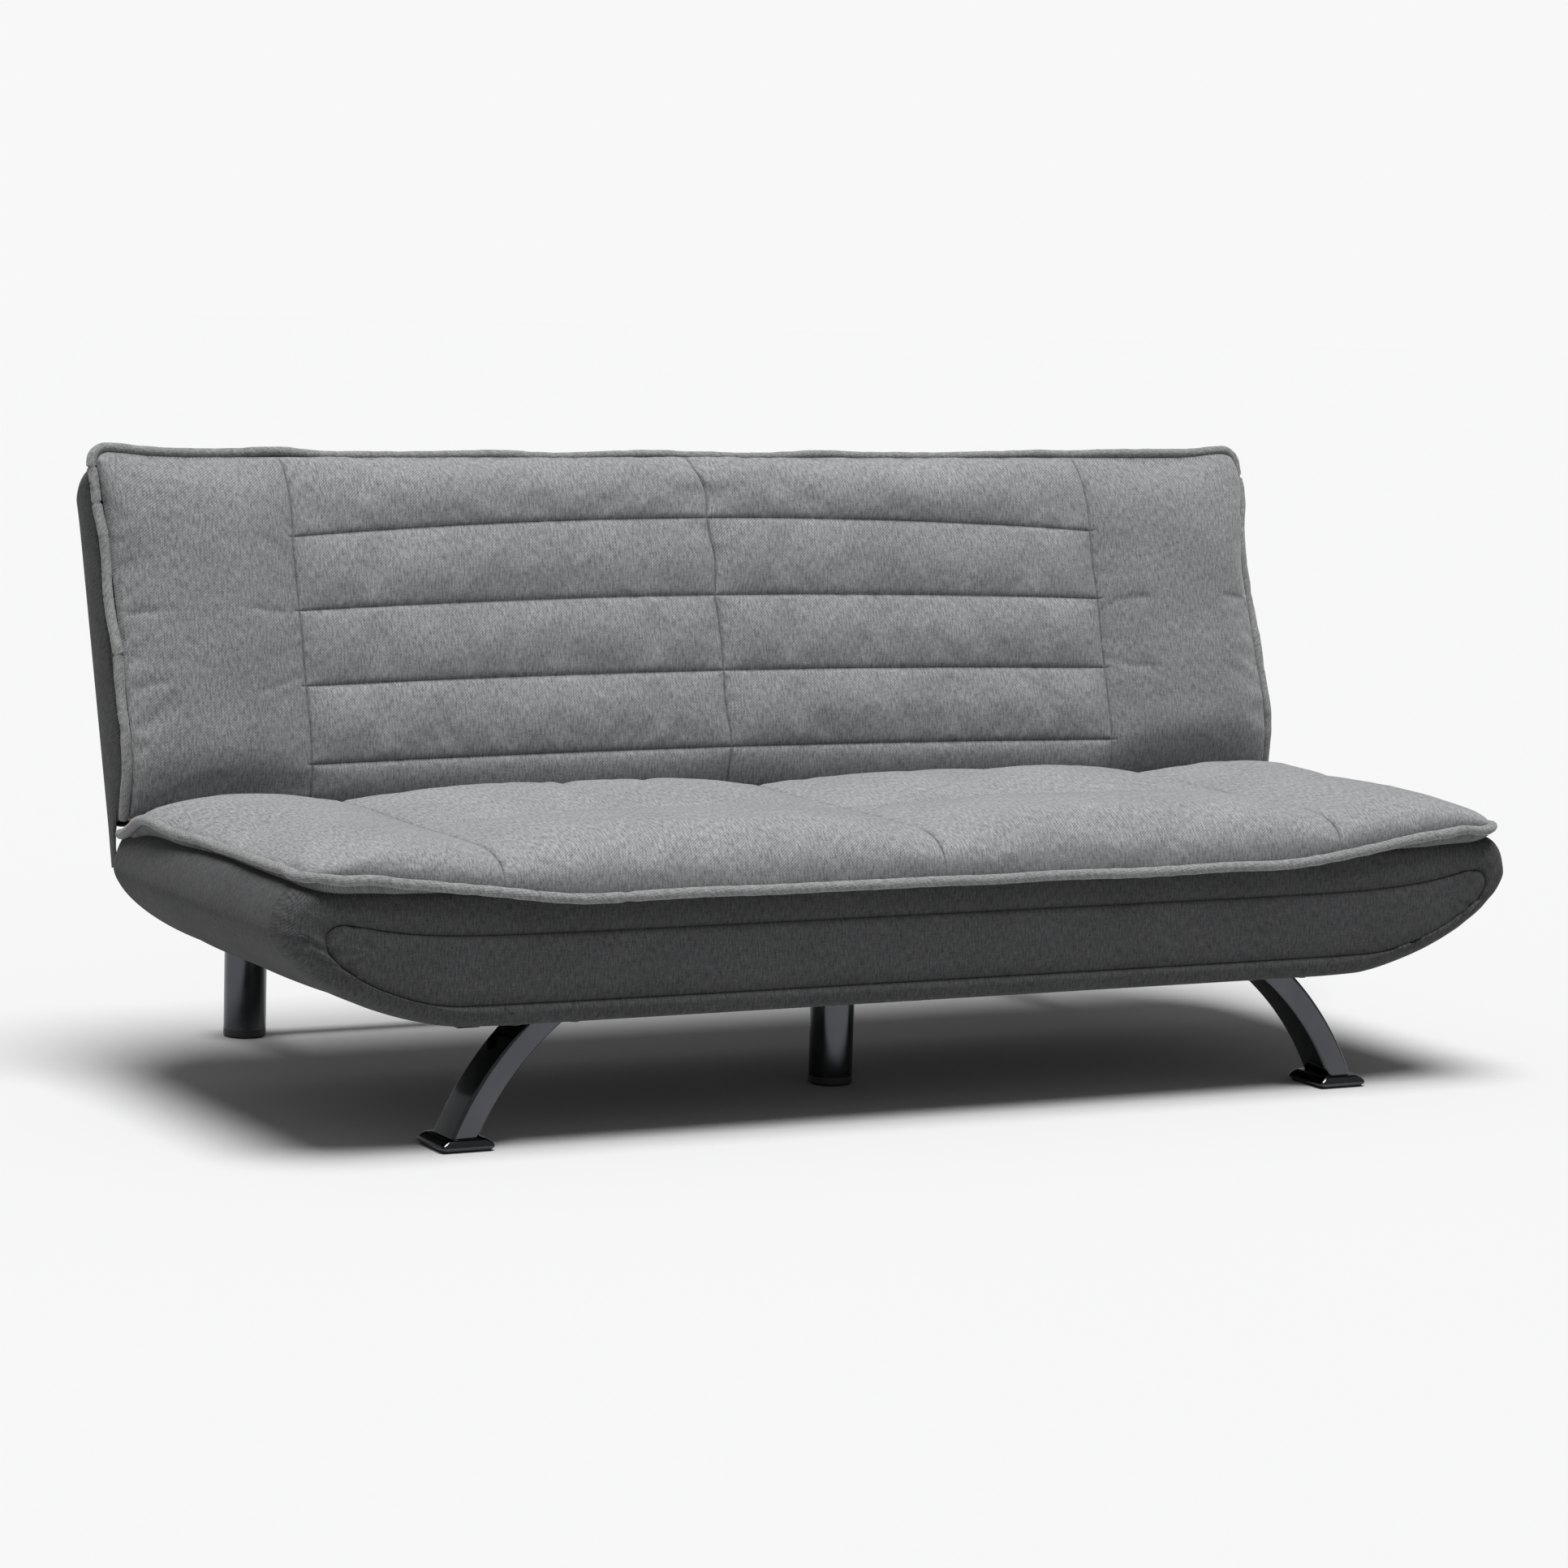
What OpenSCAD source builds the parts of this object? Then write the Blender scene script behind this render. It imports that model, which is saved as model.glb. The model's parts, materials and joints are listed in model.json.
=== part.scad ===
// Click-clack futon sofa bed: a boat-shaped upholstered seat on two curved front legs, a centre leg
// and two rear legs, and a backrest that reclines on two ratchet hinges until it lies flat.
// X runs along the sofa, Y from front to back and Z up, with the origin on the floor at the middle
// of the overall box. All sizes are in millimetres.

/* [Overall] */
// Width across the seat hull at its widest point
hull_w = 1822; // [1600:1:2187]
// Depth of the seat hull from its front cover to its rear cover
hull_d = 600; // [520:1:720]
// Height of the hull's flat underside above the floor
ground_clear = 164; // [136:1:200]
// Height of the hull from its underside to its top edge
hull_h = 163; // [150:1:196]

/* [Hull section] */
// Run of the side curve from the flat underside out to the widest point
bilge_run = 241; // [200:1:290]
// Rise of the side curve from the underside to the widest point
bilge_rise = 126; // [118:1:136]
// Fullness of the side curve: 2 is an ellipse, less is flatter
bilge_power = 1.6; // [1.4:0.1:2]
// Thickness of the padded hull cover
cover_t = 6; // [4:1:10]
// Thickness of the front and rear boards and the middle rib
board_t = 18; // [15:1:25]
// Thickness of the bent side boards
bilge_board_t = 4; // [3:1:6]
// Thickness of the felt over the springs
deck_t = 8; // [5:1:12]

/* [Seat pad] */
// Height of the crown of the seat pad above the top of the hull
pad_h = 78; // [60:1:94]
// Thickness of the seat pad at its edge
pad_edge_h = 20; // [14:1:24]
// Overhang of the seat piping in front of the hull
pad_overhang = 18; // [10:1:30]
// Radius of the piping cord
piping_r = 7; // [5:0.5:9]
// Radius of the seat pad's front corners in plan
pad_corner_r = 45; // [30:1:60]

/* [Backrest] */
// Height of the backrest pad, measured along its lean
back_h = 502; // [420:1:602]
// Lean of the upright backrest from vertical, in degrees
back_lean = 15; // [12:1:18]
// Distance of the backrest's and the seat piping's ends inside the hull's widest point
back_inset = 7; // [5:1:12]
// Distance of the piping plane in front of the hinge axis
back_face = 58; // [52:1:62]
// Height of the crown of the backrest pad in front of the piping plane
back_crown = 40; // [30:1:46]
// Thickness of the backrest timbers
back_frame_t = 30; // [25:1:34]
// Radius of the backrest piping's top corners
back_corner_r = 21; // [16:1:40]
// Distance from the pad's top edge down to the top of the rear cover
shell_drop = 36; // [25:1:50]

/* [Hinge] */
// Distance of the hinge axis behind the hull's rear cover
hinge_back = 30; // [28:1:34]
// Depth of the hinge axis below the top edge of the hull
hinge_down = 27; // [24:1:30]
// Gap from the hinge axis to the bottom edge of the backrest
hinge_gap = 41; // [38:1:46]
// Radius of the hinge pin
hinge_pin_r = 6; // [5:0.5:8]
// Thickness of the hinge plates and pawls
plate_t = 4; // [3:0.5:5]
// Radius of the ratchet rim on the back plate
ratchet_r = 24; // [20:1:25]
// Angle between two ratchet positions, in degrees
ratchet_step = 37.5; // [30:0.5:40]
// Angle that the backrest swings forward to release the ratchet, in degrees
release_angle = 8; // [4:1:8]
// Angle that a pawl turns to drop into its notch, in degrees
pawl_drop = 7; // [5:0.5:8]
// Radius of the pawl's rounded tip
pawl_tip_r = 2.5; // [2:0.5:3]

/* [Legs] */
// Distance of each front foot inside the hull's widest point
front_foot_inset = 250; // [210:1:290]
// Width of the front leg tube across the sofa
front_tube_w = 34; // [28:1:40]
// Depth of the front leg tube from front to back
front_tube_d = 62; // [50:1:70]
// Radius of the front leg's curve
front_leg_r = 400; // [350:10:500]
// Lean of the front leg at its foot, in degrees
front_leg_lean = 24; // [18:1:27]
// Distance of the front legs' middle plane behind the hull's front
front_leg_y = 52; // [50:1:80]
// Radius of the rear and centre legs
round_leg_r = 30; // [24:1:34]
// Distance of each rear leg inside the hull's widest point
rear_leg_inset = 293; // [270:1:400]
// Distance of the rear legs behind the hull's rear cover
rear_leg_back = 280; // [220:1:320]
// Distance of the centre leg behind the hull's front
centre_leg_y = 281; // [200:1:340]
// Height of the underframe tubes
rail_h = 25; // [20:1:30]
// Width of the underframe tubes
rail_w = 30; // [25:1:40]
// Wall of the underframe and leg tubes
tube_wall = 2; // [1.5:0.5:3]

/* [Springs] */
// Number of sinuous springs in the seat
seat_spring_count = 11; // [7:1:13]
// Number of sinuous springs in the backrest
back_spring_count = 9; // [7:1:11]
// Thickness of the spring wire
wire_t = 4; // [3:0.5:5]
// Half width of a spring
spring_half_w = 26; // [20:1:30]
// Spacing of a spring's bars
spring_pitch = 36; // [30:1:45]

/* [Hidden] */
$fn = 48;
slip = 0.3;                      // gap between pieces that only lie together
pin_play = 0.05;                 // radial running clearance of a pin in its bore
part_gap = 2;                    // gap between frame pieces that don't touch
half_w = hull_w / 2;
back_half = half_w - back_inset;
bottom_z = ground_clear;
top_z = bottom_z + hull_h;
widest_z = bottom_z + bilge_rise;
flat_half = half_w - bilge_run;
curve_steps = 10;
front_y = 0;
rear_y = hull_d;
front_cover_t = 10;
board_y = front_y + front_cover_t;          // front face of the front board
rear_board_y = rear_y - cover_t - board_t;  // front face of the rear board
bay_y0 = board_y + board_t;                 // the space between the boards
bay_y1 = rear_board_y;
shoulder_x = half_w - hull_h + bilge_rise;  // where the side covers end on top of the hull
seam_x = flat_half - 60;                    // where the side covers meet the bottom panel
deck_z = top_z - deck_t;
spring_z = deck_z - wire_t;

// Seat pad
pad_top_z = top_z + pad_h;
pad_edge_z = top_z + pad_edge_h;
piping_z = top_z + pad_edge_h - piping_r;
pad_half = back_half - 2 * piping_r - slip;
pad_front_y = front_y - pad_overhang + 2 * piping_r + slip;
pad_rear_y = rear_y + hinge_back - back_face - 6;
pad_lip_z = top_z + 6;

// Backrest, in its own frame: v runs to the rear and u up from the hinge axis
pivot_y = rear_y + hinge_back;
pivot_z = top_z - hinge_down;
u_low = hinge_gap;
u_top = u_low + back_h;
u_shell = u_top - shell_drop;
boxing_t = 14;
deck_v = -back_face + 16;                   // front face of the backrest's felt
back_deck_t = 4;
frame_v = deck_v + back_deck_t;             // front face of the backrest timbers
frame_rear_v = frame_v + back_frame_t;
shell_low_v = 2;
shell_top_v = 21;
stile_w = 34;
stile_x = back_half - boxing_t - stile_w;   // inner face of the stiles
rail_u = 50;                                // width of the backrest's rails, up the back
frame_u0 = u_low + 6;
frame_u1 = u_shell - 10;

// Hinge stack, from the seat plate outwards to the back plate
washer_t = 1.5;
back_plate_x = stile_x - plate_t;
washer_x = back_plate_x - washer_t;
seat_plate_x = washer_x - plate_t;
joist_t = 30;
joist_x = seat_plate_x - joist_t;
slot_x0 = seat_plate_x - 5;
slot_x1 = stile_x + 16;
pin_head_r = 10;
pin_head_t = 4;
pawl_pin_r = 3;
pawl_hub_r = 8;
pawl_arm_r = 5;
notch_play = 1.1;                // gap round a pawl's tip in its notch
pawl_pin_y = pivot_y - 47;
pawl_pin_z = pivot_z - 17;
tip_angle = 160;
tip_dist = ratchet_r + 1 + pawl_tip_r;
pawl_tip = [pivot_y + tip_dist * cos(tip_angle), pivot_z + tip_dist * sin(tip_angle)];
dropped_tip = turned(pawl_tip, [pawl_pin_y, pawl_pin_z], -pawl_drop);
joist_z1 = deck_z - 10;

// Legs
front_foot_x = half_w - front_foot_inset;
rear_leg_x = half_w - rear_leg_inset;
glide_t = 3;
foot_h = 16;
foot_x = 72;
foot_y = 84;
plate_h = 4;
round_plate_r = round_leg_r + 8;
leg_top_z = bottom_z - plate_h;
front_leg_end = asin(sin(front_leg_lean) + (leg_top_z - foot_h) / front_leg_r);
front_leg_top_x = front_foot_x - front_leg_r * (cos(front_leg_lean) - cos(front_leg_end));
rail_z = bottom_z - rail_h;
rear_leg_y = rear_y + rear_leg_back;
rail_y0 = front_leg_y + foot_y / 2 + 20;
rail_y1 = rear_leg_y + round_plate_r;
cap_h = 12;
bolt_r = 4;
bolt_head_r = 7;
bolt_head_h = 4;

// The overall box is centred on the origin from front to back
origin_y = -(front_y - pad_overhang + rail_y1) / 2;

// ---------------------------------------------------------------- helpers

// Point p turned about centre c by the given angle
function turned(p, c, angle) =
    [c[0] + (p[0] - c[0]) * cos(angle) - (p[1] - c[1]) * sin(angle),
     c[1] + (p[0] - c[0]) * sin(angle) + (p[1] - c[1]) * cos(angle)];

// Sides of a pawl's arm from its pin at p to its tip at q, wider by play on each side
function tapered_bar(p, q, play) =
    let (d = (q - p) / norm(q - p), n = [-d[1], d[0]], a = pawl_arm_r + play, b = pawl_tip_r + play)
    [p + n * a, p - n * a, q - n * b, q + n * b];

// Right half of the hull's outline, from the underside round to the top, inset by t
function half_outline(t) = concat(
    [for (i = [0 : curve_steps])
        let (a = 90 * i / curve_steps)
        [flat_half + (bilge_run - t) * pow(sin(a), 2 / bilge_power),
         widest_z - (bilge_rise - t) * pow(cos(a), 2 / bilge_power)]],
    [for (i = [1 : curve_steps / 2])
        let (a = 180 * i / curve_steps, r = hull_h - bilge_rise)
        [half_w - r + (r - t) * cos(a), widest_z + (r - t) * sin(a)]]);

// The same outline mirrored and read back, so that both halves close into one loop
function whole_outline(t) =
    let (h = half_outline(t), n = len(h))
    concat(h, [for (i = [n - 1 : -1 : 0]) [-h[i][0], h[i][1]]]);

// Outline of a sinuous wire: bars across, joined by short links at alternate ends
function bend_point(k, pitch, amp) = [pitch * floor(k / 2), [-amp, amp, amp, -amp][k % 4]];
function bend_normal(k) = [[-1, 0], [0, 1], [1, 0], [0, 1]][k % 4];
function wire_edge(n, pitch, amp, h) = [for (k = [0 : n])
    bend_point(k, pitch, amp) + h * (k == 0 ? bend_normal(0)
        : k == n ? bend_normal(n - 1) : bend_normal(k - 1) + bend_normal(k))];
function reversed(list) = [for (i = [len(list) - 1 : -1 : 0]) list[i]];

// A profile drawn in Y and Z, carried along X
module along_x(x0, x1) {
    translate([x0, 0, 0]) rotate([90, 0, 90]) linear_extrude(x1 - x0) children();
}

// A profile drawn in X and Z, carried along Y
module along_y(y0, y1) {
    translate([0, y1, 0]) rotate([90, 0, 0]) linear_extrude(y1 - y0) children();
}

module box(lo, hi) {
    translate(lo) cube(hi - lo);
}

// A round bar or bore along X
module bar_x(x0, x1, y, z, r) {
    translate([x0, y, z]) rotate([0, 90, 0]) cylinder(h = x1 - x0, r = r);
}

// Right-hand pieces as drawn, left-hand ones mirrored, all in the sofa's own frame
module on_side(side) {
    translate([0, origin_y, 0]) mirror([side < 0 ? 1 : 0, 0, 0]) children();
}

// Pieces drawn in the backrest's frame: X, v to the rear, u up the back
module in_back(side = 1) {
    on_side(side) translate([0, pivot_y, pivot_z]) rotate([-back_lean, 0, 0]) children();
}

// Plan from the edge y0, which has rounded corners, to the square edge y1
module rounded_plan(x, y0, y1, r) {
    dir = sign(y1 - y0);
    polygon(concat(
        [[-x, y1], [x, y1]],
        [for (a = [0 : 15 : 90]) [x - r + r * cos(a), y0 + dir * r * (1 - sin(a))]],
        [for (a = [90 : -15 : 0]) [r - x - r * cos(a), y0 + dir * r * (1 - sin(a))]]));
}

// Square tube with both ends open
module tube_y(x, y0, y1, z, w, h) {
    difference() {
        box([x - w / 2, y0, z], [x + w / 2, y1, z + h]);
        box([x - w / 2 + tube_wall, y0 - 1, z + tube_wall],
            [x + w / 2 - tube_wall, y1 + 1, z + h - tube_wall]);
    }
}

module tube_x(x0, x1, y, z, w, h) {
    difference() {
        box([x0, y - w / 2, z], [x1, y + w / 2, z + h]);
        box([x0 - 1, y - w / 2 + tube_wall, z + tube_wall],
            [x1 + 1, y + w / 2 - tube_wall, z + h - tube_wall]);
    }
}

// Three sides of a cord: two arms along Y with rounded corners onto a run along X
module piping_u(x, y_run, y_end, r, corner) {
    dir = sign(y_end - y_run);
    rotate([0, 90, 0]) translate([0, y_run, corner - x]) cylinder(h = 2 * (x - corner), r = r);
    for (sx = [-1, 1]) {
        translate([sx * x, (y_run + dir * corner + y_end) / 2, 0]) rotate([90, 0, 0])
            cylinder(h = abs(y_end - y_run) - corner, r = r, center = true);
        translate([sx * (x - corner), y_run + dir * corner, 0])
            mirror([sx < 0 ? 1 : 0, 0, 0]) mirror([0, dir > 0 ? 1 : 0, 0])
                rotate_extrude(angle = 90) translate([corner, 0]) circle(r);
    }
}

// ---------------------------------------------------------------- seat timbers

// Slots where the hinge plates pass through the rear of the hull
module hinge_slots(y0) {
    for (sx = [-1, 1]) mirror([sx < 0 ? 1 : 0, 0, 0])
        box([slot_x0, y0, pawl_pin_z - 28], [slot_x1, rear_y + 50, top_z + 40]);
}

module hull_board(y0, t, inset, top) {
    intersection() {
        along_y(y0, y0 + t) polygon(whole_outline(inset));
        box([-half_w, y0, 0], [half_w, y0 + t, top]);
    }
}

module front_board() {
    color("burlywood") on_side(1) hull_board(board_y, board_t, cover_t, deck_z);
}

module rear_board() {
    color("burlywood") on_side(1) difference() {
        hull_board(rear_board_y, board_t, cover_t, deck_z);
        hinge_slots(rear_board_y - 1);
    }
}

module middle_rib() {
    rib_y = (bay_y0 + bay_y1 - board_t) / 2;
    color("burlywood") on_side(1) difference() {
        hull_board(rib_y, board_t, cover_t + bilge_board_t, spring_z - 20);
        for (sx = [-1, 1])
            translate([sx * (joist_x + joist_t / 2), rib_y + board_t / 2, joist_z1 - 10])
                cube([joist_t + slip, board_t + 2, 100], center = true);
    }
}

// Timber along the side of the bay that carries a hinge
module joist(side) {
    color("tan") on_side(side) box([joist_x, bay_y0, joist_z1 - 60],
                                   [joist_x + joist_t, bay_y1, joist_z1]);
}

// Band of the hull's skin between two insets: the side curve, and the shoulder up to z_top
module bilge_band(y0, y1, outer, inner, z_top) {
    intersection() {
        along_y(y0, y1) difference() {
            polygon(whole_outline(outer));
            polygon(whole_outline(inner));
        }
        union() {
            box([seam_x, y0, 0], [half_w + 1, y1, widest_z]);
            box([shoulder_x, y0, widest_z - 1], [half_w + 1, y1, z_top]);
        }
    }
}

module bilge_board(side) {
    color("peru") on_side(side)
        bilge_band(bay_y0, bay_y1, cover_t, cover_t + bilge_board_t, widest_z);
}

module bottom_panel() {
    color("dimgray") on_side(1)
        box([-seam_x, board_y, bottom_z], [seam_x, rear_y - cover_t, bottom_z + cover_t]);
}

// ---------------------------------------------------------------- springs and felt

module wire_spring(length, pitch) {
    bars = floor(length / pitch);
    h = wire_t / 2;
    n = 2 * bars + 1;
    step = (length - wire_t) / bars;
    linear_extrude(wire_t) translate([h, 0])
        polygon(concat(wire_edge(n, step, spring_half_w, h),
                       reversed(wire_edge(n, step, spring_half_w, -h))));
}

function spring_x(i, count, reach) = reach * (2 * i / (count - 1) - 1);

module seat_springs() {
    reach = joist_x - spring_half_w - 20;
    color("silver") on_side(1) for (i = [0 : seat_spring_count - 1])
        translate([spring_x(i, seat_spring_count, reach), bay_y0, spring_z])
            rotate([0, 0, 90]) wire_spring(bay_y1 - bay_y0, spring_pitch);
}

// Folded clips that hold the springs' ends on the boards
module seat_spring_clips() {
    reach = joist_x - spring_half_w - 20;
    color("dimgray") on_side(1) for (i = [0 : seat_spring_count - 1])
        for (y = [bay_y0, bay_y1 - 14])
            translate([spring_x(i, seat_spring_count, reach) - 10, y, spring_z - 3])
                cube([20, 14, 3]);
}

module seat_felt() {
    color("gainsboro") on_side(1) difference() {
        box([-shoulder_x, board_y, deck_z], [shoulder_x, rear_y - cover_t, top_z]);
        hinge_slots(bay_y1 - 40);
    }
}

// ---------------------------------------------------------------- seat pad and covers

module seat_pad() {
    mid = (pad_front_y + pad_rear_y) / 2;
    color("darkgray") on_side(1) difference() {
        intersection() {
            along_x(-pad_half, pad_half) polygon([
                [pad_front_y, top_z], [pad_front_y, pad_edge_z],
                [pad_front_y + 30, pad_top_z - 20], [pad_front_y + 75, pad_top_z],
                [pad_rear_y - 40, pad_top_z], [pad_rear_y - 22, pad_top_z - 20],
                [pad_rear_y - 6, pad_edge_z + 3], [pad_rear_y, pad_lip_z],
                [rear_y + 8, pad_lip_z], [rear_y + 8, top_z]]);
            along_y(pad_front_y - 1, rear_y + 10) polygon([
                [-pad_half, top_z], [pad_half, top_z], [pad_half, pad_edge_z],
                [pad_half - 45, pad_top_z - 14], [pad_half - 110, pad_top_z],
                [110 - pad_half, pad_top_z], [45 - pad_half, pad_top_z - 14],
                [-pad_half, pad_edge_z]]);
            linear_extrude(pad_top_z + 1)
                rounded_plan(pad_half, pad_front_y, rear_y + 10, pad_corner_r - piping_r);
        }
        hinge_relief();
    }
}

// Round relief in the pad's rear edge over the ratchet rims
module hinge_relief() {
    for (sx = [-1, 1]) mirror([sx < 0 ? 1 : 0, 0, 0])
        box([slot_x0, pad_rear_y - 2, top_z - 1], [slot_x1, rear_y + 50, pad_edge_z]);
}

module seat_piping() {
    color("gray") on_side(1) translate([0, 0, piping_z])
        piping_u(pad_half + piping_r + slip, front_y - pad_overhang + piping_r,
                 pad_rear_y, piping_r, pad_corner_r);
}

module front_cover() {
    color("dimgray") on_side(1) along_y(front_y, board_y) polygon(whole_outline(0));
}

module rear_cover() {
    color("dimgray") on_side(1) difference() {
        along_y(rear_y - cover_t, rear_y) polygon(whole_outline(0));
        hinge_slots(rear_y - cover_t - 1);
    }
}

module side_cover(side) {
    color("dimgray") on_side(side)
        bilge_band(board_y, rear_y - cover_t, 0, cover_t, top_z + 1);
}

// ---------------------------------------------------------------- underframe and legs

module long_rail(side) {
    color("black") on_side(side) tube_y(rear_leg_x, rail_y0, rail_y1, rail_z, rail_w, rail_h);
}

module cross_tube(y) {
    reach = rear_leg_x - rail_w / 2;
    color("black") on_side(1) tube_x(-reach, reach, y, rail_z, rail_w, rail_h);
}

// Rectangular tube bent outwards, cut level on its foot and under its plate
module front_leg(side) {
    spare = 4;
    centre_x = front_foot_x - front_leg_r * cos(front_leg_lean);
    centre_z = foot_h - front_leg_r * sin(front_leg_lean);
    color("#2b2f36") on_side(side) intersection() {
        translate([centre_x, front_leg_y, centre_z]) rotate([90, spare - front_leg_lean, 0])
            rotate_extrude(angle = front_leg_end - front_leg_lean + 2 * spare, $fn = 96)
                translate([front_leg_r, 0]) difference() {
                    square([front_tube_w, front_tube_d], center = true);
                    square([front_tube_w - 2 * tube_wall, front_tube_d - 2 * tube_wall],
                           center = true);
                }
        box([0, 0, foot_h], [half_w, 2 * front_leg_y, leg_top_z]);
    }
}

// Domed flange under a front leg
module front_foot(side) {
    color("#24272d") on_side(side) translate([front_foot_x, front_leg_y, 0]) hull()
        for (step = [[0, 4], [4, 8], [9, foot_h - glide_t]])
            translate([step[0] - foot_x / 2, step[0] - foot_y / 2, glide_t])
                cube([foot_x - 2 * step[0], foot_y - 2 * step[0], step[1]]);
}

module front_glides() {
    color("black") for (side = [-1, 1]) on_side(side)
        translate([front_foot_x, front_leg_y, glide_t / 2])
            cube([foot_x - 8, foot_y - 8, glide_t], center = true);
}

module at_front_plate() {
    translate([front_leg_top_x, front_leg_y, leg_top_z]) children();
}

// Mounting plates: two for the front legs, two for the rear legs and one for the centre leg
module leg_plates() {
    color("#1f2226") {
        for (side = [-1, 1]) on_side(side) {
            at_front_plate() difference() {
                translate([-50, -36, 0]) cube([100, 72, plate_h]);
                for (x = [-41, 41], y = [-24, 24]) translate([x, y, -1])
                    cylinder(h = plate_h + 2, r = bolt_r);
            }
            round_leg_plate(rear_leg_x, rear_leg_y);
        }
        on_side(1) round_leg_plate(0, centre_leg_y);
    }
}

module round_leg_plate(x, y) {
    translate([x, y, rail_z - plate_h]) cylinder(h = plate_h, r = round_plate_r);
}

module round_leg(x, y) {
    translate([x, y, cap_h]) difference() {
        cylinder(h = rail_z - plate_h - cap_h, r = round_leg_r);
        translate([0, 0, -1]) cylinder(h = rail_z - plate_h - cap_h + 2, r = round_leg_r - tube_wall);
    }
}

module round_cap(x, y) {
    translate([x, y, 0]) rotate_extrude() polygon(concat(
        [[0, 0]],
        [for (i = [0 : 4]) let (a = 22.5 * i)
            [round_leg_r - 4 + 4 * sin(a), 4 - 4 * cos(a)]],
        [[round_leg_r, cap_h], [0, cap_h]]));
}

module rear_leg(side) {
    color("#2b2f36") on_side(side) round_leg(rear_leg_x, rear_leg_y);
}

module rear_leg_caps() {
    color("black") for (side = [-1, 1]) on_side(side) round_cap(rear_leg_x, rear_leg_y);
}

module centre_leg() {
    color("#2b2f36") on_side(1) round_leg(0, centre_leg_y);
}

module centre_leg_cap() {
    color("black") on_side(1) round_cap(0, centre_leg_y);
}

// Bolts up through the front legs' plates into the front board's foot blocks
module leg_bolts() {
    color("silver") for (side = [-1, 1]) on_side(side) at_front_plate()
        for (x = [-41, 41], y = [-24, 24]) translate([x, y, 0]) {
            translate([0, 0, -bolt_head_h]) cylinder(h = bolt_head_h, r = bolt_head_r);
            cylinder(h = plate_h, r = bolt_r - pin_play);
        }
}

// ---------------------------------------------------------------- hinges

module plate_bore(x, y, z, r) {
    bar_x(x - 1, x + plate_t + 1, y, z, r);
}

// Fixed plate: bolted to the joist, with a boss at the hinge axis
module hinge_seat_plate(side) {
    color("slategray") on_side(side) difference() {
        union() {
            bar_x(seat_plate_x, seat_plate_x + plate_t, pivot_y, pivot_z, 20);
            along_x(seat_plate_x, seat_plate_x + plate_t) polygon([
                [bay_y1 - 110, joist_z1 - 12], [bay_y1 - 110, joist_z1 - 48],
                [pawl_pin_y, pawl_pin_z - 14], [pivot_y, pivot_z - 20],
                [pivot_y, pivot_z + 20], [pawl_pin_y, joist_z1]]);
        }
        plate_bore(seat_plate_x, pivot_y, pivot_z, hinge_pin_r);
        plate_bore(seat_plate_x, pawl_pin_y, pawl_pin_z, pawl_pin_r);
        for (y = seat_bolt_ys()) plate_bore(seat_plate_x, y, joist_z1 - 30, bolt_r);
    }
}

function seat_bolt_ys() = [bay_y1 - 95, bay_y1 - 55];
function back_bolt_us() = [u_low + 75, u_low + 135];

module hinge_seat_bolts() {
    color("silver") for (side = [-1, 1]) on_side(side) for (y = seat_bolt_ys()) {
        bar_x(seat_plate_x + plate_t, seat_plate_x + plate_t + bolt_head_h,
              y, joist_z1 - 30, bolt_head_r);
        bar_x(seat_plate_x, seat_plate_x + plate_t, y, joist_z1 - 30, bolt_r - pin_play);
    }
}

// Riveted pin through both plates
module hinge_pins() {
    x_end = stile_x + 1;
    color("silver") for (side = [-1, 1]) on_side(side) {
        bar_x(seat_plate_x - pin_head_t, seat_plate_x, pivot_y, pivot_z, pin_head_r);
        bar_x(seat_plate_x, x_end, pivot_y, pivot_z, hinge_pin_r);
        bar_x(x_end, x_end + pin_head_t, pivot_y, pivot_z, pin_head_r);
    }
}

module hinge_washers() {
    color("silver") for (side = [-1, 1]) on_side(side) {
        for (c = [[pivot_y, pivot_z, hinge_pin_r, 14], [pawl_pin_y, pawl_pin_z, pawl_pin_r, 7]])
            difference() {
                bar_x(washer_x + 0.1, washer_x + washer_t - 0.1, c[0], c[1], c[3]);
                bar_x(washer_x - 1, washer_x + washer_t + 1, c[0], c[1], c[2] + pin_play);
            }
    }
}

// Moving plate: a ratchet rim round the hinge axis and an arm up the stile
module hinge_back_plate(side) {
    pawl_pin = [pawl_pin_y - pivot_y, pawl_pin_z - pivot_z];
    notch = dropped_tip - [pivot_y, pivot_z];
    color("lightslategray") on_side(side) translate([0, pivot_y, pivot_z]) difference() {
        union() {
            bar_x(back_plate_x, back_plate_x + plate_t, 0, 0, ratchet_r);
            rotate([-back_lean, 0, 0]) along_x(back_plate_x, back_plate_x + plate_t) polygon([
                [8, 0], [frame_rear_v - 3, frame_u0 - 4], [frame_rear_v - 3, u_low + 160],
                [frame_v + 3, u_low + 160], [frame_v + 3, frame_u0 + 24], [-16, 10]]);
        }
        plate_bore(back_plate_x, 0, 0, hinge_pin_r + pin_play);
        for (a = [-release_angle, -release_angle / 2, 0, ratchet_step, 2 * ratchet_step])
            rotate([a, 0, 0]) {
                plate_bore(back_plate_x, notch[0], notch[1], pawl_tip_r + notch_play);
                along_x(back_plate_x - 1, back_plate_x + plate_t + 1)
                    polygon(tapered_bar(pawl_pin, notch, notch_play));
            }
        rotate([-back_lean, 0, 0]) for (u = back_bolt_us())
            plate_bore(back_plate_x, (frame_v + frame_rear_v) / 2, u, bolt_r);
    }
}

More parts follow.
